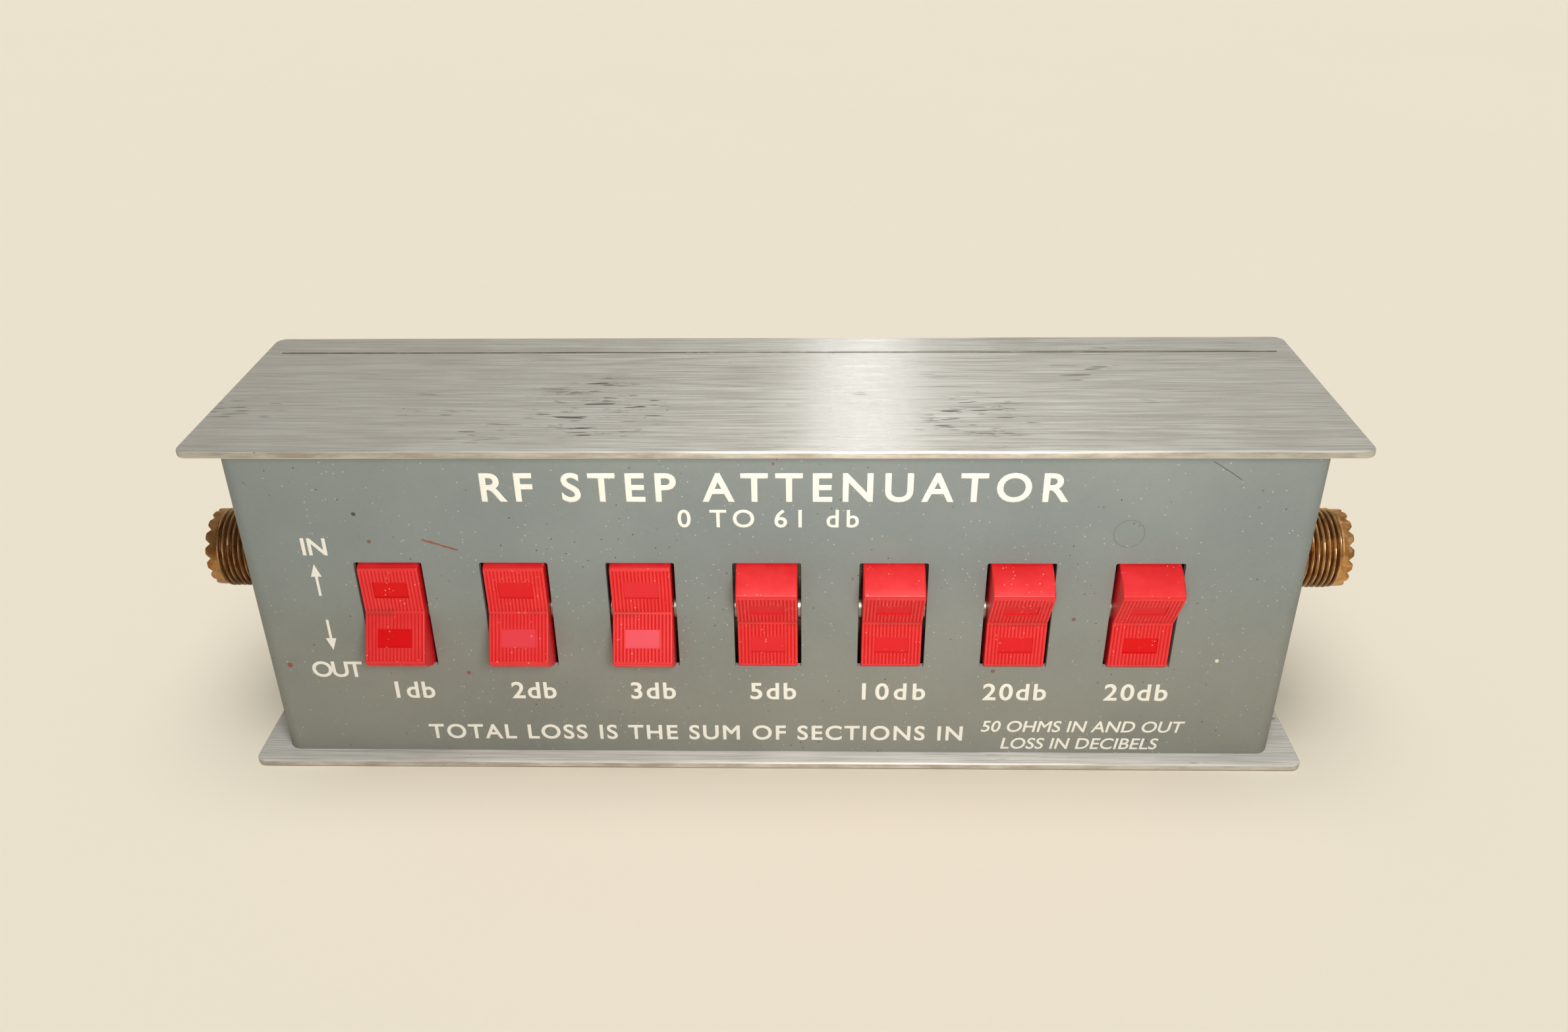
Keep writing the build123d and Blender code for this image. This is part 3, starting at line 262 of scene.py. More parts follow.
def brushed_plate():
    """Aluminium brushed along its length, with scuffs and smudges, painted shade along the scored line, and its
    cut edges coloured tan as painted shade and a painted warm reflection.
    """
    f = Finish("brushed_plate")
    fine = f.band(f.noise(1.0, 1.0, 0.5, at=f.stretch((85, 5600, 5600))), 0.36, 0.64)
    middle = f.band(f.noise(1.0, 1.0, 0.5, at=f.stretch((60, 2500, 2500))), 0.36, 0.64)
    broad = f.band(f.noise(1.0, 2.0, 0.6, at=f.stretch((22, 620, 620))), 0.35, 0.65)
    brush = f.math("ADD", f.math("MULTIPLY", fine, 0.45), f.math("MULTIPLY", middle, 0.42))
    brush = f.math("ADD", brush, f.math("MULTIPLY", broad, 0.13))
    bright = f.mix(brush, BRUSH_DARK, BRUSH_LIGHT)
    clouds = f.noise(38, 5.0, 0.65)
    bright = f.mix(f.both(f.band(clouds, 0.52, 0.34), 0.12), bright, (0.34, 0.31, 0.27))
    smudge = f.band(f.noise(150, 5.0, 0.75, at=f.stretch((1, 2.6, 1), (0, 0, 0.3))), 0.54, 0.66)
    nicks = nick_mask(f)
    scuffed = f.either(f.near(*SCUFFED[0]), f.near(*SCUFFED[1]))
    scuffs = f.both(scuffed, f.either(f.both(smudge, 0.5), f.both(nicks, 0.85)))
    stray = f.both(nicks, f.band(f.noise(34, 2.0), 0.58, 0.66))
    pits = f.both(f.band(f.cells(260), 0.055, 0.03), f.band(f.noise(60, 2.0), 0.5, 0.6))
    marks = f.either(scuffs, f.both(stray, 0.6))
    marks = f.either(marks, f.both(pits, 0.8))
    # The scored line is painted dark along with the scuffs: painted shade in its groove.
    marks = f.either(marks, score_shade_mask(f))
    bright = f.mix(marks, bright, SCUFF_AND_SHADE_COLOUR)
    # The plate's edge faces are coloured tan in patches: painted shade and a painted warm reflection.
    upright = f.math("ABSOLUTE", f.normal("Z"))
    edge = f.band(upright, 0.60, 0.25)
    patchy_tone = f.noise(420, 4.0, 0.7, at=f.stretch((0.25, 1, 1)))
    tan = f.mix(f.band(patchy_tone, 0.30, 0.70), (0.39, 0.335, 0.26), (0.61, 0.56, 0.48))
    f.set("Base Color", f.mix(edge, bright, tan))
    f.set("Roughness", f.remap(f.either(brush, edge), 0.26, 0.46))
    lower_plate = f.band(f.axis(f.place, "Z"), 10 * MM, 8 * MM)
    f.set("Metallic", f.remap(lower_plate, 0.55, 0.15))
    f.set("Anisotropic", 0.8)
    f.set("Tangent", f.direction(0.0, 1.0, 0.0))
    height = f.math("SUBTRACT", brush, f.math("MULTIPLY", marks, 0.8))
    f.set("Normal", f.bump(height, 0.03 * MM, 0.35))
    return f.material


def mark_line(f, start, end, width):
    """Mask of a scratch on the front panel between two (x, z) places, with a wavering edge."""
    centre = ((start[0] + end[0]) / 2, PANEL_Y, (start[1] + end[1]) / 2)
    run = math.hypot(end[0] - start[0], end[1] - start[1])
    lean = math.atan2(end[1] - start[1], end[0] - start[0])
    at = f.local(centre, (0.0, -lean, 0.0))
    waver = f.remap(f.noise(700, 3.0), -1.5 * width, 1.5 * width)
    across = f.math("ABSOLUTE", f.math("ADD", f.axis(at, "Z"), waver))
    along = f.math("ABSOLUTE", f.axis(at, "X"))
    return f.both(f.band(across, width, 0.4 * width), f.band(along, run / 2, 0.42 * run))


def mark_spot(f, x, z, radius):
    """Mask of a small irregular spot on the front panel."""
    at = f.local((x, PANEL_Y, z))
    away = f.distance(f.axis(at, "X"), f.axis(at, "Z"))
    away = f.math("ADD", away, f.remap(f.noise(900, 3.0), -0.5 * radius, 0.5 * radius))
    return f.band(away, radius, 0.6 * radius)


def mark_ring(f, x, z, radius, width):
    """Mask of a faint ring on the front panel."""
    at = f.local((x, PANEL_Y, z))
    away = f.math("SUBTRACT", f.distance(f.axis(at, "X"), f.axis(at, "Z")), radius)
    return f.band(f.math("ABSOLUTE", away), width, 0.3 * width)


# Stray marks on the panel, in metres: lines as two (x, z) ends and a width, spots as x, z, radius,
# the ring as x, z, radius, width.
RUST_COLOUR = (0.27, 0.055, 0.03)
RUST_LINE = ((-0.0637, 0.0504), (-0.0568, 0.0480), 0.00028)
RUST_SPOTS = [(-0.0586, 0.0205, 0.00050), (-0.0930, 0.0222, 0.00060), (-0.0790, 0.0228, 0.00035)]
SCRATCH = ((0.0764, 0.0664), (0.0824, 0.0624), 0.00010)
DARK_SPOT = (-0.0749, 0.0556, 0.00048)
RING = (0.0639, 0.0517, 0.00275, 0.00016)
PALE_SPOT = (0.0838, 0.0239, 0.00045)


def panel_paint():
    """Satin grey-green paint with painted shade that warms and darkens it towards the bottom, fine specks, faint
    clouding, stray marks and bare cut edges.
    """
    f = Finish("panel_paint")
    clouds = f.noise(26, 4.0, 0.6)
    height = f.axis(f.place, "Z")
    side = f.axis(f.place, "X")
    cool = f.mix(f.band(clouds, 0.3, 0.7), (0.190, 0.220, 0.218), (0.226, 0.256, 0.250))
    warm_shaded = f.mix(f.band(clouds, 0.3, 0.7), (0.196, 0.202, 0.172), (0.238, 0.242, 0.206))
    # Warmer and a little darker towards the bottom: painted shade.
    body = f.mix(f.band(height, 0.055, 0.012), cool, warm_shaded)
    orange_peel = f.noise(1300, 2.0, 0.5)
    body = f.mix(f.remap(orange_peel, 0.0, 0.22), body, (0.31, 0.33, 0.31))
    light_speck = f.band(f.cells(780), 0.125, 0.08)
    light_speck = f.both(light_speck, f.band(f.noise(170, 2.0), 0.42, 0.54))
    turned = f.stretch((1, 1, 1), (0.4, 0.2, 0.7))
    dark_speck = f.band(f.cells(540, at=turned), 0.095, 0.06)
    dark_speck = f.both(dark_speck, f.band(f.noise(110, 2.0), 0.46, 0.58))
    rust_speck = f.band(f.cells(84, at=f.stretch((1, 1, 1), (1.1, 0.3, 0.2))), 0.042, 0.028)
    body = f.mix(f.both(light_speck, 0.6), body, (0.60, 0.59, 0.52))
    body = f.mix(f.both(dark_speck, 0.85), body, (0.03, 0.03, 0.025))
    body = f.mix(f.both(rust_speck, 0.7), body, (0.17, 0.05, 0.028))
    front = f.band(f.normal("Y"), -0.7, -0.9)
    rust = mark_line(f, *RUST_LINE)
    for spot in RUST_SPOTS:
        rust = f.either(rust, mark_spot(f, *spot))
    dark = f.either(mark_line(f, *SCRATCH), mark_spot(f, *DARK_SPOT))
    body = f.mix(f.both(f.both(rust, front), 0.85), body, RUST_COLOUR)
    body = f.mix(f.both(f.both(dark, front), 0.85), body, (0.05, 0.03, 0.022))
    body = f.mix(f.both(f.both(mark_ring(f, *RING), front), 0.45), body, (0.12, 0.13, 0.11))
    body = f.mix(f.both(mark_spot(f, *PALE_SPOT), front), body, (0.72, 0.68, 0.50))
    depth = f.axis(f.place, "Y")
    corner = f.band(f.math("ABSOLUTE", side), WALL_X - 1.2 * MM, WALL_X - 0.2 * MM)
    corner = f.both(corner, f.band(depth, PANEL_Y + 3.4 * MM, PANEL_Y + 1.6 * MM))
    rubbed = f.both(corner, f.band(f.noise(240, 4.0, 0.7), 0.42, 0.62))
    body = f.mix(f.both(rubbed, 0.55), body, (0.16, 0.10, 0.06))
    level = f.band(f.math("ABSOLUTE", f.normal("Z")), 0.6, 0.9)
    inside = f.both(f.band(depth, PANEL_Y + 1.6 * MM, PANEL_Y + 1.3 * MM), level)
    openings = f.both(f.band(height, 19 * MM, 20 * MM), f.band(height, 49 * MM, 48 * MM))
    cut = f.both(inside, openings)
    f.set("Base Color", f.mix(f.both(cut, 0.8), body, (0.55, 0.55, 0.52)))
    f.set("Roughness", f.remap(f.noise(160, 3.0), 0.44, 0.60))
    f.set("Specular IOR Level", 0.4)
    grain = f.bump(orange_peel, 0.02 * MM, 0.5)
    f.set("Normal", f.bump(f.noise(240, 2.0), 0.06 * MM, 0.3, after=grain))
    return f.material


# How pale the upper and lower pad of each rocker have faded.
PAD_FADING = {
    1: (0.0, 0.0),
    2: (0.1, 0.55),
    3: (0.25, 1.0),
    4: (0.15, 0.2),
    5: (0.1, 0.15),
    6: (0.1, 0.1),
    7: (0.15, 0.0),
}


def rocker_red(number):
    """Moulded red plastic: matt ribs with dust and painted shade between them, and smooth, deeper red pads."""
    f = Finish(f"rocker_red_{number}")
    lean = REST_TILT[number]
    at = f.local(PIVOTS[number], (lean, 0.0, 0.0))
    out = f.math("MULTIPLY", f.axis(at, "Y"), -1.0)
    up = f.axis(at, "Z")
    slope = f.math("MULTIPLY", f.math("ABSOLUTE", up), math.tan(FACE_ANGLE))
    depth = f.math("SUBTRACT", f.math("ADD", slope, VALLEY_OUT), out)
    face = f.band(depth, 0.45 * MM, 0.38 * MM)
    pad = f.both(f.band(depth, 0.22 * MM, 0.28 * MM), face)
    groove_shade = f.both(f.band(depth, 0.03 * MM, 0.10 * MM), f.band(depth, 0.26 * MM, 0.21 * MM))
    clouds = f.noise(190, 4.0, 0.6)
    body = f.mix(f.band(clouds, 0.3, 0.75), (0.73, 0.012, 0.016), (0.82, 0.026, 0.031))
    body = f.mix(f.both(face, f.remap(clouds, 0.15, 0.45)), body, (0.78, 0.056, 0.052))
    # Painted shade darkens the grooves between the ribs.
    body = f.mix(f.both(groove_shade, 0.7), body, (0.62, 0.014, 0.017))
    upper_fade, lower_fade = PAD_FADING[number]
    lower = f.band(up, 0.0005, -0.0005)
    fade = f.math("ADD", f.both(lower, lower_fade - upper_fade), upper_fade)
    smooth = f.mix(fade, (0.68, 0.004, 0.006), (0.80, 0.09, 0.12))
    body = f.mix(pad, body, smooth)
    dust = f.both(f.band(f.cells(1050), 0.17, 0.11), f.band(f.noise(300, 2.0), 0.48, 0.60))
    body = f.mix(f.both(dust, 0.55), body, (0.92, 0.50, 0.38))
    lint = f.both(f.band(f.cells(420), 0.05, 0.03), f.band(f.noise(160, 2.0), 0.5, 0.6))
    body = f.mix(f.both(lint, 0.7), body, (0.93, 0.72, 0.55))
    # Darker red in patches along the valley line between the two faces.
    patchy_tone = f.both(f.band(f.math("ABSOLUTE", up), 0.0012, 0.0002), f.band(clouds, 0.4, 0.6))
    body = f.mix(f.both(patchy_tone, 0.4), body, (0.30, 0.02, 0.012))
    f.set("Base Color", body)
    shine = f.remap(f.noise(420, 3.0), 0.34, 0.50)
    f.set("Roughness", f.math("SUBTRACT", shine, f.math("MULTIPLY", pad, 0.05)))
    f.set("Specular IOR Level", f.remap(pad, 0.42, 0.16))
    f.set("Normal", f.bump(f.noise(900, 3.0), 0.014 * MM, 0.5))
    return f.material


def brass(name, shade):
    """Tarnished brass, lighter where its shade mask is near one and nearly black near nought."""
    f = Finish(name, metallic=1.0)
    patches = f.noise(330, 5.0, 0.65, distort=0.4)
    fine = f.noise(1700, 3.0, 0.6)
    light = shade(f)
    tarnish = f.mix(f.band(patches, 0.35, 0.65), (0.44, 0.20, 0.06), (0.78, 0.44, 0.17))
    # Polished where the mask is high: rubbed wear, and on the barrels also a painted highlight on the thread's
    # crests.
    polish_and_highlight = f.mix(fine, (0.86, 0.52, 0.24), (1.0, 0.80, 0.52))
    body = f.mix(f.both(f.band(light, 0.55, 1.0), f.band(patches, 0.2, 0.6)), tarnish, polish_and_highlight)
    # Near black where the mask is low: tarnish, with painted shade in the barrels' thread roots and bore.
    body = f.mix(f.both(f.band(light, 0.45, 0.0), 0.9), body, (0.055, 0.020, 0.007))
    pits = f.both(f.band(f.cells(1500), 0.16, 0.10), f.band(f.noise(420, 2.0), 0.5, 0.62))
    body = f.mix(f.both(pits, 0.7), body, (0.05, 0.02, 0.01))
    # Brass beyond the left wall is darkened: painted shade on the socket that lies away from the key light.
    left = f.band(f.axis(f.place, "X"), -WALL_X + 4 * MM, -WALL_X)
    body = f.mix(f.both(left, 0.45), body, (0.16, 0.06, 0.02))
    verdigris = f.band(f.noise(560, 4.0), 0.66, 0.74)
    f.set("Base Color", f.mix(f.both(verdigris, 0.35), body, (0.20, 0.22, 0.12)))
    f.set("Roughness", f.remap(patches, 0.30, 0.58))
    f.set("Normal", f.bump(f.math("ADD", fine, f.math("MULTIPLY", patches, 2.0)), 0.04 * MM, 0.6))
    return f.material


def barrel_shade(f):
    """Crests of the thread are rubbed bright and carry a painted highlight, and the rim's edge is rubbed bright;
    the roots stay dark with tarnish and painted shade, and painted shade darkens the mouth of the bore.
    """
    at = f.local((0.0, SOCKET_CENTRE.y, SOCKET_CENTRE.z))
    radius = f.distance(f.axis(at, "Y"), f.axis(at, "Z"))
    along = f.math("ABSOLUTE", f.axis(f.place, "X"))
    out = f.band(along, RIM_START - 0.2 * MM, RIM_START + 0.2 * MM)
    # Thread crests rubbed bright, partly a painted highlight.
    crest = f.band(radius, BARREL_RADIUS - 0.52 * MM, BARREL_RADIUS - 0.04 * MM)
    # Painted shade at the mouth of the bore.
    bore_shade = f.band(radius, BORE_RADIUS + 0.4 * MM, BORE_RADIUS + 0.1 * MM)
    rim = f.math("SUBTRACT", f.remap(f.noise(700, 3.0), 0.15, 1.0), f.both(bore_shade, 0.5))
    return f.math("ADD", f.both(crest, f.math("SUBTRACT", 1.0, out)), f.both(rim, out))


def plain_shade(f):
    """Even handling wear."""
    return f.remap(f.noise(500, 4.0, 0.65), 0.25, 0.85)


def dark_shade(f):
    """Darkened all over, tarnish with painted shade, as in a sheltered corner."""
    return f.remap(f.noise(500, 4.0, 0.65), 0.0, 0.42)


def dielectric():
    """Brown moulded plug with a fine powdery grain."""
    f = Finish("socket_dielectric", roughness=0.55)
    patches = f.noise(420, 4.0, 0.6)
    f.set("Base Color", f.mix(patches, (0.13, 0.05, 0.018), (0.27, 0.12, 0.05)))
    f.set("Normal", f.bump(f.noise(1800, 3.0), 0.02 * MM, 0.5))
    return f.material


def plated_steel(name, tint=(0.60, 0.61, 0.60), stain=(0.34, 0.33, 0.29)):
    """Bright plated steel with rolling marks and light staining."""
    f = Finish(name, metallic=1.0)
    rolled = f.noise(1.0, 2.0, 0.5, at=f.stretch((300, 300, 2600)))
    stains = f.band(f.noise(110, 5.0, 0.65), 0.45, 0.75)
    body = f.mix(f.band(rolled, 0.35, 0.65), tuple(0.78 * c for c in tint), tint)
    f.set("Base Color", f.mix(f.both(stains, 0.5), body, stain))
    f.set("Roughness", f.remap(f.noise(240, 3.0), 0.26, 0.46))
    f.set("Normal", f.bump(rolled, 0.008 * MM, 0.4))
    return f.material


def moulded(name, low, high, roughness=0.5):
    """Plain moulded plastic or laminate with mottled colour and a fine grain."""
    f = Finish(name)
    f.set("Base Color", f.mix(f.noise(260, 4.0, 0.6), low, high))
    f.set("Roughness", f.remap(f.noise(520, 3.0), roughness - 0.08, roughness + 0.08))
    f.set("Normal", f.bump(f.noise(1500, 3.0), 0.015 * MM, 0.5))
    return f.material


def panel_ink():
    """Cream screen-printed ink, a little worn."""
    f = Finish("panel_ink", roughness=0.55)
    wear = f.band(f.noise(900, 4.0, 0.7), 0.62, 0.74)
    ink = f.mix(f.noise(160, 3.0), (0.80, 0.78, 0.69), (0.89, 0.87, 0.79))
    f.set("Base Color", f.mix(f.both(wear, 0.4), ink, (0.48, 0.48, 0.42)))
    return f.material


BRUSHED = brushed_plate()
PAINT = panel_paint()
BARREL_BRASS = brass("barrel_brass", barrel_shade)
BRASS = brass("aged_brass", plain_shade)
DARK_BRASS = brass("darkened_brass", dark_shade)
DIELECTRIC = dielectric()
ZINC = plated_steel("zinc_steel")
TINPLATE = plated_steel("tinplate", (0.46, 0.43, 0.35), (0.32, 0.27, 0.19))
TINNED = plated_steel("tinned_copper", (0.66, 0.62, 0.56), (0.42, 0.34, 0.26))
TINNED_BRASS = plated_steel("tinned_brass", (0.68, 0.60, 0.42), (0.36, 0.28, 0.16))
PHENOLIC = moulded("phenolic", (0.075, 0.03, 0.012), (0.15, 0.065, 0.028), 0.45)
NYLON = moulded("nylon", (0.66, 0.64, 0.56), (0.76, 0.74, 0.67), 0.4)
RESISTOR = moulded("resistor_body", (0.42, 0.27, 0.14), (0.52, 0.35, 0.19), 0.35)
INK = panel_ink()

FINISH_OF_SLOT = {
    "panel_paint": PAINT,
    "brushed_plate": BRUSHED,
    "aged_brass": BRASS,
    "socket_dielectric": DIELECTRIC,
    "zinc_steel": ZINC,
    "tinplate": TINPLATE,
    "phenolic": PHENOLIC,
    "nylon": NYLON,
    "tinned_brass": TINNED_BRASS,
    "tinned_copper": TINNED,
    "resistor_body": RESISTOR,
}


def dress(obj, material):
    """Gives an object one material on every face."""
    obj.data.materials.clear()
    obj.data.materials.append(material)


def dress_frame():
    """Puts each CAD node's finish on it, from the slot that the record names."""
    for entry in frame["record"]["subparts"]:
        if entry["material_slot"] in FINISH_OF_SLOT:
            dress(nodes[entry["node"]], FINISH_OF_SLOT[entry["material_slot"]])
    for number in SWITCHES:
        dress(nodes[f"rocker_{number}"], rocker_red(number))
        dress(nodes[f"switch_frame_{number}"], TINPLATE)
    dress(nodes["socket_washers"], DARK_BRASS)


# ---- mesh helpers -------------------------------------------------------------------------------
def new_piece(name, points, faces, material, body, smooth_angle=35.0):
    """Mesh object from points and faces, shaded smooth up to an angle, riding on a body."""
    mesh = bpy.data.meshes.new(name)
    mesh.from_pydata([tuple(p) for p in points], [], faces)
    mesh.update()
    obj = bpy.data.objects.new(name, mesh)
    bpy.context.scene.collection.objects.link(obj)
    mesh.shade_smooth()
    mesh.set_sharp_from_angle(angle=math.radians(smooth_angle))
    dress(obj, material)
    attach(obj, body)
    return obj


def ring_faces(rings, around, side):
    """Quads between neighbouring rings, the last joined to the first, facing out on that side."""
    faces = []
    for i in range(rings):
        j = (i + 1) % rings
        for k in range(around):
            m = (k + 1) % around
            face = (i * around + k, j * around + k, j * around + m, i * around + m)
            faces.append(tuple(reversed(face)) if side > 0 else face)
    return faces


# ---- threaded socket shells and nuts ------------------------------------------------------------
THREAD_PITCH = 25.4 / 24 * MM
THREAD_DEPTH = 0.58 * MM
THREAD_RINGS = 100
RIM_PLAIN = SOCKET_END - RIM_START
RIM_RELIEF = 0.30 * MM
NOTCHES = 16
NOTCH_DEPTH = 0.75 * MM
NOTCH_SHARE = 0.55
CREST_ROUNDING = 0.16 * MM
AROUND = NOTCHES * 16
PANEL_SHEET = 1.2 * MM
SHELL_FLANGE = 2.0 * MM
TAIL_STEP = 0.74 * MM
NUT_BORE = 7.98 * MM
NUT_CHAMFER = 1.1 * MM
NUT_BORE_BREAK = 0.5 * MM


def thread_drop(along, turn):
    """How far the thread's surface lies below its crest: rounded crests and roots."""
    phase = (along / THREAD_PITCH - turn / (2 * math.pi)) % 1.0
    wave = 0.5 - 0.5 * np.cos(2 * math.pi * phase)
    return THREAD_DEPTH * wave**0.8


def notch_drop(turn):
    """How far the rim falls back: narrow V notches between rounded crests."""
    phase = (turn * NOTCHES / (2 * math.pi)) % 1.0
    away = np.abs(phase - 0.5) * 2
    notch = NOTCH_DEPTH * np.clip(1.0 - away / NOTCH_SHARE, 0, 1) ** 0.9
    return notch + CREST_ROUNDING * (1 - away) ** 2


def socket_shell(end):
    """Threaded barrel with a notched rim, standing for the plain CAD shell."""
    low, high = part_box(f"socket_shell_{end}")
    side = -1 if end == "left" else 1
    centre = Vector(mount(f"socket_{end}_barrel")["pos_m"])
    crest = mount(f"socket_{end}_barrel")["dims"]["r_mm"] * MM
    reach = max(abs(low.x), abs(high.x)) - WALL_X
    tail = WALL_X - min(abs(low.x), abs(high.x))
    flange_radius = (high.z - low.z) / 2
    turn = np.linspace(0, 2 * math.pi, AROUND, endpoint=False)
    rings = []

    def ring(along, radius, fall=0.0, thread=0.0):
        """One ring; fall says how much of the notch it follows, thread how much of the thread."""
        x = along - fall * notch_drop(turn)
        r = radius - thread * thread_drop(x, turn * side)
        y = centre.y + r * np.cos(turn)
        z = centre.z + r * np.sin(turn)
        rings.append(np.stack([side * (WALL_X + x), y, z], 1))

    thread_end = reach - RIM_PLAIN
    plain = crest - RIM_RELIEF
    ring(-tail, BORE_RADIUS)
    ring(-tail, crest - TAIL_STEP)
    ring(-PANEL_SHEET - SHELL_FLANGE, crest - TAIL_STEP)
    ring(-PANEL_SHEET - SHELL_FLANGE, flange_radius)
    ring(-PANEL_SHEET, flange_radius)
    ring(-PANEL_SHEET, crest)
    ring(0.0, crest)
    for i in range(THREAD_RINGS + 1):
        along = thread_end * i / THREAD_RINGS
        lead_in = min(1.0, (thread_end - along) / (0.45 * THREAD_PITCH), along / THREAD_PITCH)
        top = crest if along < thread_end - 0.5 * MM else plain + (crest - plain) * lead_in
        ring(along, top, thread=lead_in)
    # The plain rim, its rounded outer edge, its end face and the edge of the bore.
    ring(thread_end + 0.25 * MM, plain)
    for share in (0.35, 0.55, 0.75, 0.88):
        ring(thread_end + (reach - thread_end) * share, plain, fall=share)
    ring(reach - 0.12 * MM, plain - 0.03 * MM, fall=1.0)
    ring(reach - 0.03 * MM, plain - 0.12 * MM, fall=1.0)
    ring(reach, plain - 0.30 * MM, fall=1.0)
    ring(reach - 0.02 * MM, (plain + BORE_RADIUS) / 2, fall=1.0)
    ring(reach, BORE_RADIUS + 0.30 * MM, fall=1.0)
    ring(reach - 0.05 * MM, BORE_RADIUS + 0.12 * MM, fall=1.0)
    ring(reach - 0.16 * MM, BORE_RADIUS, fall=1.0)
    ring(reach - RIM_PLAIN, BORE_RADIUS, fall=0.3)
    ring(reach - 2 * RIM_PLAIN, BORE_RADIUS)
    points = np.concatenate(rings)
    faces = ring_faces(len(rings), AROUND, side)
    name = f"socket_barrel_{end}"
    obj = new_piece(name, points, faces, BARREL_BRASS, "case", smooth_angle=50.0)
    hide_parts(f"socket_shell_{end}")
    return obj


def socket_nuts():
    """Pair of hexagon nuts with chamfered corners, standing for the plain CAD nuts."""
    low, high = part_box("socket_nuts")
    centre = Vector(mount("socket_right_barrel")["pos_m"])
    flats = (high.z - low.z) / 2
    washer_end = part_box("socket_washers")[1].x
    thickness = high.x - washer_end
    around = 6 * 24
    turn = np.linspace(0, 2 * math.pi, around, endpoint=False)
    into_flat = (turn + math.pi / 6 - math.pi / 2) % (math.pi / 3) - math.pi / 6
    hexagon = flats / np.cos(into_flat)
    near_end = np.linspace(0, NUT_CHAMFER, 9)
    stations = np.concatenate([near_end, thickness - near_end[::-1]])
    all_points = []
    all_faces = []
    for side in (-1, 1):
        rings = []
        for depth in stations:
            from_end = min(depth, thickness - depth)
            cone = flats - 0.15 * MM + from_end * 1.75
            rings.append((depth, np.minimum(hexagon, cone)))
        rings.append((thickness, np.full(around, NUT_BORE + NUT_BORE_BREAK)))
        rings.append((thickness - NUT_BORE_BREAK, np.full(around, NUT_BORE)))
        rings.append((NUT_BORE_BREAK, np.full(around, NUT_BORE)))
        rings.append((0.0, np.full(around, NUT_BORE + NUT_BORE_BREAK)))
        start = len(all_points)
        for depth, radius in rings:
            x = side * (washer_end + depth)
            for a, r in zip(turn, radius):
                all_points.append((x, centre.y + r * math.cos(a), centre.z + r * math.sin(a)))
        faces = ring_faces(len(rings), around, side)
        all_faces += [tuple(start + v for v in face) for face in faces]
    obj = new_piece("socket_hex_nuts", all_points, all_faces, DARK_BRASS, "case", 30.0)
    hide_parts("socket_nuts")
    return obj


# ---- panel lettering ----------------------------------------------------------------------------
INK_HEIGHT = 0.03 * MM
CAP_SHARE = 0.73


def letter_points(text, height, weight, spacing, shear):
    """Mesh of one line of lettering in its own x, y plane, its points and the ends of its box."""
    curve = bpy.data.curves.new("lettering", "FONT")
    curve.body = text
    curve.size = height / CAP_SHARE
    curve.space_character = spacing
    curve.bevel_depth = weight
    curve.bevel_resolution = 0
    curve.shear = shear
    curve.extrude = INK_HEIGHT / 2
    curve.resolution_u = 5
    holder = bpy.data.objects.new("lettering", curve)
    bpy.context.scene.collection.objects.link(holder)
    bpy.context.view_layer.update()
    graph = bpy.context.evaluated_depsgraph_get()
    mesh = bpy.data.meshes.new_from_object(holder.evaluated_get(graph))
    bpy.data.objects.remove(holder)
    bpy.data.curves.remove(curve)
    co = np.array([v.co for v in mesh.vertices])
    return mesh, co, co.min(0), co.max(0)


def print_text(name, text, left, right, base, height, weight, shear=0.0):
    """Lettering on the panel whose spacing is opened until it runs from left to right."""
    widths = []
    for spacing in (1.0, 1.5):
        mesh, co, low, high = letter_points(text, height, weight, spacing, shear)
        bpy.data.meshes.remove(mesh)
        widths.append(high[0] - low[0])
    spacing = 1.0 + 0.5 * (right - left - widths[0]) / (widths[1] - widths[0])
    mesh, co, low, high = letter_points(text, height, weight, spacing, shear)
    raised = (co[:, 2] - low[2]) * INK_HEIGHT / (high[2] - low[2])
    placed = np.stack([left + co[:, 0] - low[0], PANEL_Y - raised, base + co[:, 1]], 1)
    mesh.name = name
    mesh.vertices.foreach_set("co", placed.astype(np.float32).ravel())
    mesh.update()
    obj = bpy.data.objects.new(name, mesh)
    bpy.context.scene.collection.objects.link(obj)
    dress(obj, INK)
    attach(obj, "case")
    return obj


def print_arrow(name, x, low, high, up):
    """Printed arrow with a slender shaft and a solid head."""
    head = 2.7 * MM
    half_head = 1.0 * MM
    half_shaft = 0.25 * MM
    tip, tail = (high, low) if up else (low, high)
    sign = 1 if up else -1
    neck = tip - sign * head
    outline = [
        (x - half_shaft, tail),
        (x + half_shaft, tail),
        (x + half_shaft, neck),
        (x + half_head, neck),
        (x, tip),
        (x - half_head, neck),
        (x - half_shaft, neck),
    ]
    if not up:
        outline.reverse()
    count = len(outline)
    front = [(px, PANEL_Y - INK_HEIGHT, pz) for px, pz in outline]
    back = [(px, PANEL_Y, pz) for px, pz in outline]
    faces = [tuple(range(count)), tuple(range(2 * count - 1, count - 1, -1))]
    faces += [(i, count + i, count + (i + 1) % count, (i + 1) % count) for i in range(count)]
    return new_piece(name, front + back, faces, INK, "case")


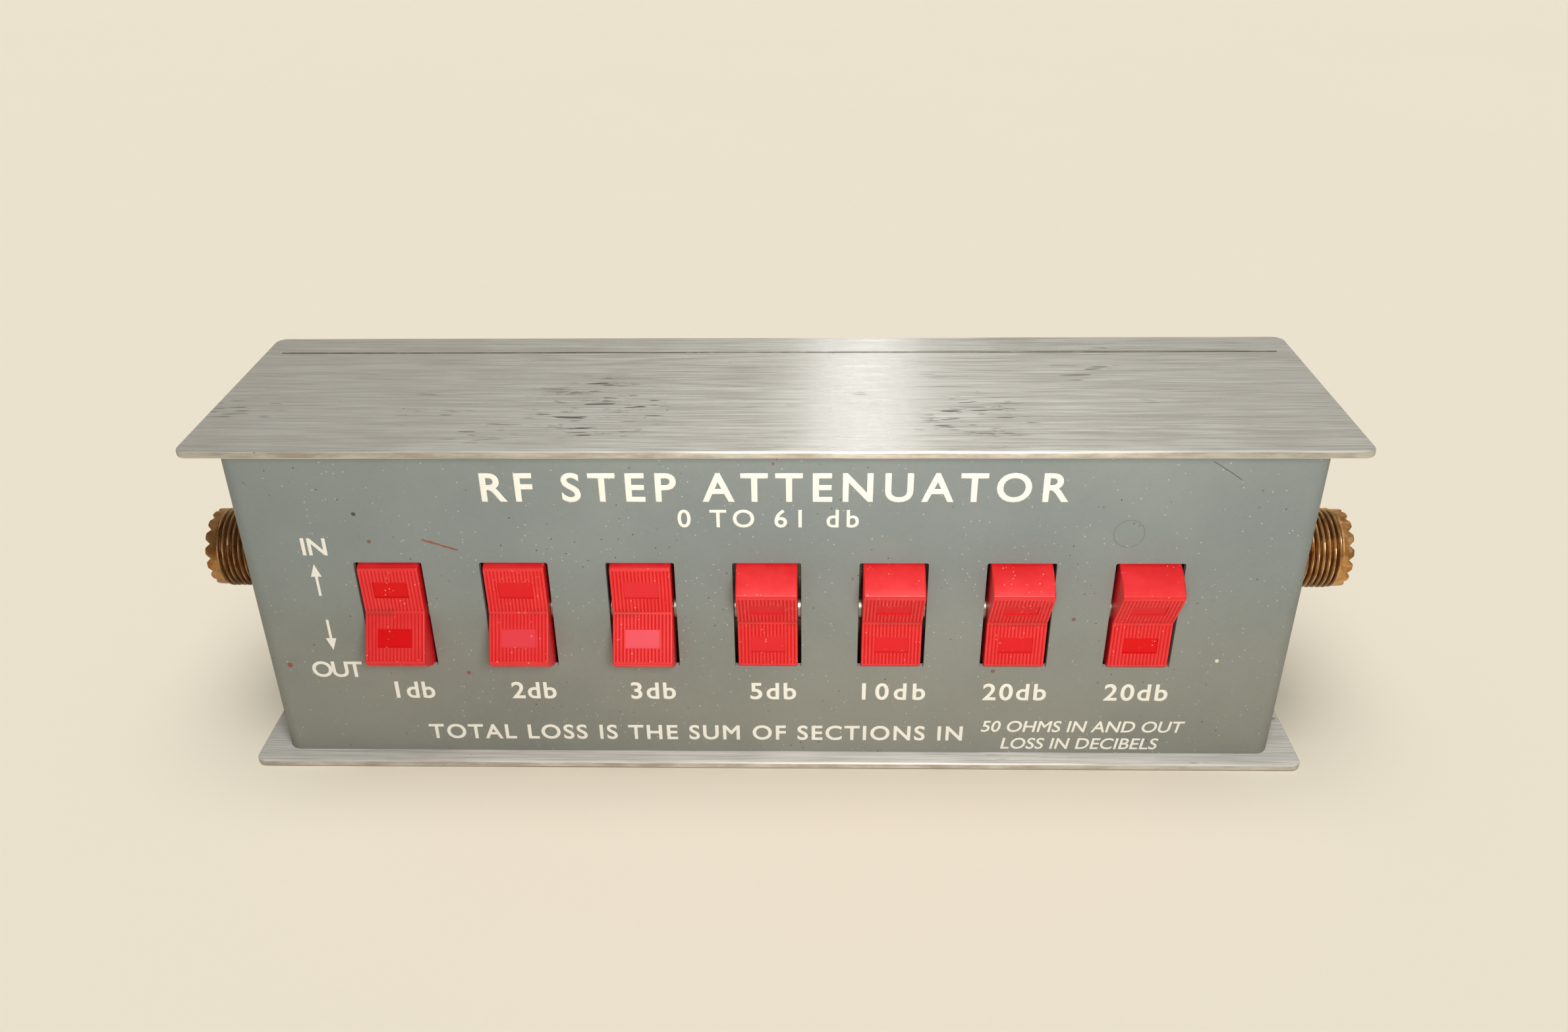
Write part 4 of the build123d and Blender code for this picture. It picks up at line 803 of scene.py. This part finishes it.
# Name, words, left and right ends, base line, height, stroke weight (mm) and slant of each line.
LINES = [
    ("print_title", "RF STEP ATTENUATOR", -51.4, 52.5, 58.3, 5.8, 0.17, 0.0),
    ("print_range", "0 TO 61 db", -16.7, 15.7, 53.0, 3.7, 0.07, 0.0),
    ("print_in", "IN", -85.7, -81.1, 47.0, 3.7, 0.10, 0.0),
    ("print_out", "OUT", -88.9, -79.0, 19.5, 3.7, 0.10, 0.0),
    ("print_legend", "TOTAL LOSS IS THE SUM OF SECTIONS IN", -68.3, 37.0, 4.5, 3.6, 0.10, 0.0),
    ("print_impedance", "50 OHMS IN AND OUT", 40.5, 80.0, 6.7, 2.8, 0.05, 0.15),
    ("print_unit", "LOSS IN DECIBELS", 44.6, 75.4, 2.5, 2.8, 0.05, 0.15),
]
LOSSES = (1, 2, 3, 5, 10, 20, 20)
NUMERAL_WIDTHS = {1: 7.7, 2: 8.7, 3: 8.7, 5: 8.9, 10: 12.2, 20: 12.2}


def print_panel():
    """Title, range, IN and OUT with their arrows, and the loss of each section."""
    for name, line, left, right, base, height, weight, shear in LINES:
        place = (left * MM, right * MM, base * MM)
        print_text(name, line, *place, height * MM, weight * MM, shear)
    print_arrow("print_arrow_in", -84.1 * MM, 38.1 * MM, 45.0 * MM, True)
    print_arrow("print_arrow_out", -83.9 * MM, 25.8 * MM, 32.7 * MM, False)
    for n, loss in zip(SWITCHES, LOSSES):
        width = NUMERAL_WIDTHS[loss] * MM
        left = PIVOTS[n].x + 0.85 * MM - width / 2
        print_text(f"print_loss_{n}", f"{loss}db", left, left + width, 14.5 * MM, 4.0 * MM, 0.11 * MM)


# ---- stage, light and camera --------------------------------------------------------------------
FLOOR_COLOUR = (0.86, 0.797, 0.655)
SURROUND_COLOUR = (0.82, 0.76, 0.62, 1.0)


def pale_floor():
    """Large pale floor that curves up into a backdrop."""
    f = Finish("pale_floor", roughness=0.9)
    f.set("Base Color", f.mix(f.noise(6, 3.0), FLOOR_COLOUR, tuple(0.98 * c for c in FLOOR_COLOUR)))
    f.set("Specular IOR Level", 0.05)
    wide = 6.0
    reach = 3.5
    rise = 2.5
    bend = 1.2
    profile = [(-wide, 0.0), (reach - bend, 0.0)]
    for i in range(1, 13):
        a = math.pi / 2 * i / 12
        profile.append((reach - bend + bend * math.sin(a), bend - bend * math.cos(a)))
    profile.append((reach, rise))
    points = [(x, y, z) for y, z in profile for x in (-wide, wide)]
    faces = [(2 * i, 2 * i + 1, 2 * i + 3, 2 * i + 2) for i in range(len(profile) - 1)]
    mesh = bpy.data.meshes.new("floor")
    mesh.from_pydata(points, [], faces)
    mesh.shade_smooth()
    obj = bpy.data.objects.new("floor", mesh)
    bpy.context.scene.collection.objects.link(obj)
    dress(obj, f.material)
    return obj


def new_light(name, kind, place, target, power, colour=(1.0, 1.0, 1.0)):
    """Light of a kind that faces a point."""
    data = bpy.data.lights.new(name, kind)
    data.energy = power
    data.color = colour
    obj = bpy.data.objects.new(name, data)
    obj.location = place
    obj.rotation_mode = "QUATERNION"
    obj.rotation_quaternion = (Vector(target) - Vector(place)).to_track_quat("-Z", "Y")
    bpy.context.scene.collection.objects.link(obj)
    return obj


def light_only(light, name, objects):
    """Limits a light to a set of objects."""
    group = bpy.data.collections.new(name)
    for obj in objects:
        group.objects.link(obj)
    light.light_linking.receiver_collection = group


def light_scene(floor):
    """Small key beside the camera for the object, an even light for the floor, a soft surround."""
    middle = (0.0, 0.0, 0.035)
    pieces = [o for o in bpy.context.scene.objects if o.type == "MESH" and o != floor]
    key = new_light("key", "AREA", (0.035, -0.190, 0.150), middle, 0.375, (1.0, 0.97, 0.92))
    key.data.size = 0.09
    light_only(key, "lit_by_key", pieces)
    streak = new_light("streak", "AREA", (0.062, 1.0, 0.50), middle, 0.36)
    streak.data.size = 0.10
    light_only(streak, "lit_by_streak", pieces)
    above = new_light("above", "AREA", (0.1, 0.1, 1.3), middle, 3.2)
    above.data.size = 1.0
    light_only(above, "lit_by_above", pieces)
    even = new_light("even", "SUN", (0.0, -0.3, 2.0), (0.0, 0.0, 0.0), 2.25)
    even.data.angle = math.radians(50)
    light_only(even, "lit_by_even", [floor])
    world = bpy.data.worlds.new("surround")
    bpy.context.scene.world = world
    world.use_nodes = True
    tree = world.node_tree
    light = tree.nodes["Background"]
    light.inputs["Color"].default_value = (1.0, 0.985, 0.96, 1.0)
    light.inputs["Strength"].default_value = 0.24
    seen = tree.nodes.new("ShaderNodeBackground")
    seen.inputs["Color"].default_value = SURROUND_COLOUR
    chosen = tree.nodes.new("ShaderNodeMixShader")
    ray = tree.nodes.new("ShaderNodeLightPath")
    tree.links.new(ray.outputs["Is Camera Ray"], chosen.inputs["Fac"])
    tree.links.new(light.outputs["Background"], chosen.inputs[1])
    tree.links.new(seen.outputs["Background"], chosen.inputs[2])
    tree.links.new(chosen.outputs["Shader"], tree.nodes["World Output"].inputs["Surface"])
    bpy.context.scene.view_settings.view_transform = "Standard"


CAMERA_PLACE = Vector((6.4, -221.6, 168.6)) * MM
CAMERA_YAW = 1.52
CAMERA_DOWN = 29.64
CAMERA_ROLL = -0.70
CAMERA_LENS = 29.54
CAMERA_SHIFT = 0.0044


def place_camera():
    """Camera at the viewing angle of the reference: close, from above the front."""
    yaw = Matrix.Rotation(math.radians(CAMERA_YAW), 4, "Z")
    tip = Matrix.Rotation(math.radians(90 - CAMERA_DOWN), 4, "X")
    roll = Matrix.Rotation(math.radians(CAMERA_ROLL), 4, "Z")
    data = bpy.data.cameras.new("camera")
    data.lens = CAMERA_LENS
    data.sensor_width = 36.0
    data.shift_x = CAMERA_SHIFT
    data.clip_start = 0.01
    data.clip_end = 50.0
    obj = bpy.data.objects.new("camera", data)
    obj.matrix_world = Matrix.Translation(CAMERA_PLACE) @ yaw @ tip @ roll
    bpy.context.scene.collection.objects.link(obj)
    bpy.context.scene.camera = obj


# ---- build --------------------------------------------------------------------------------------
dress_frame()
for end in ("left", "right"):
    socket_shell(end)
socket_nuts()
print_panel()
light_scene(pale_floor())
place_camera()
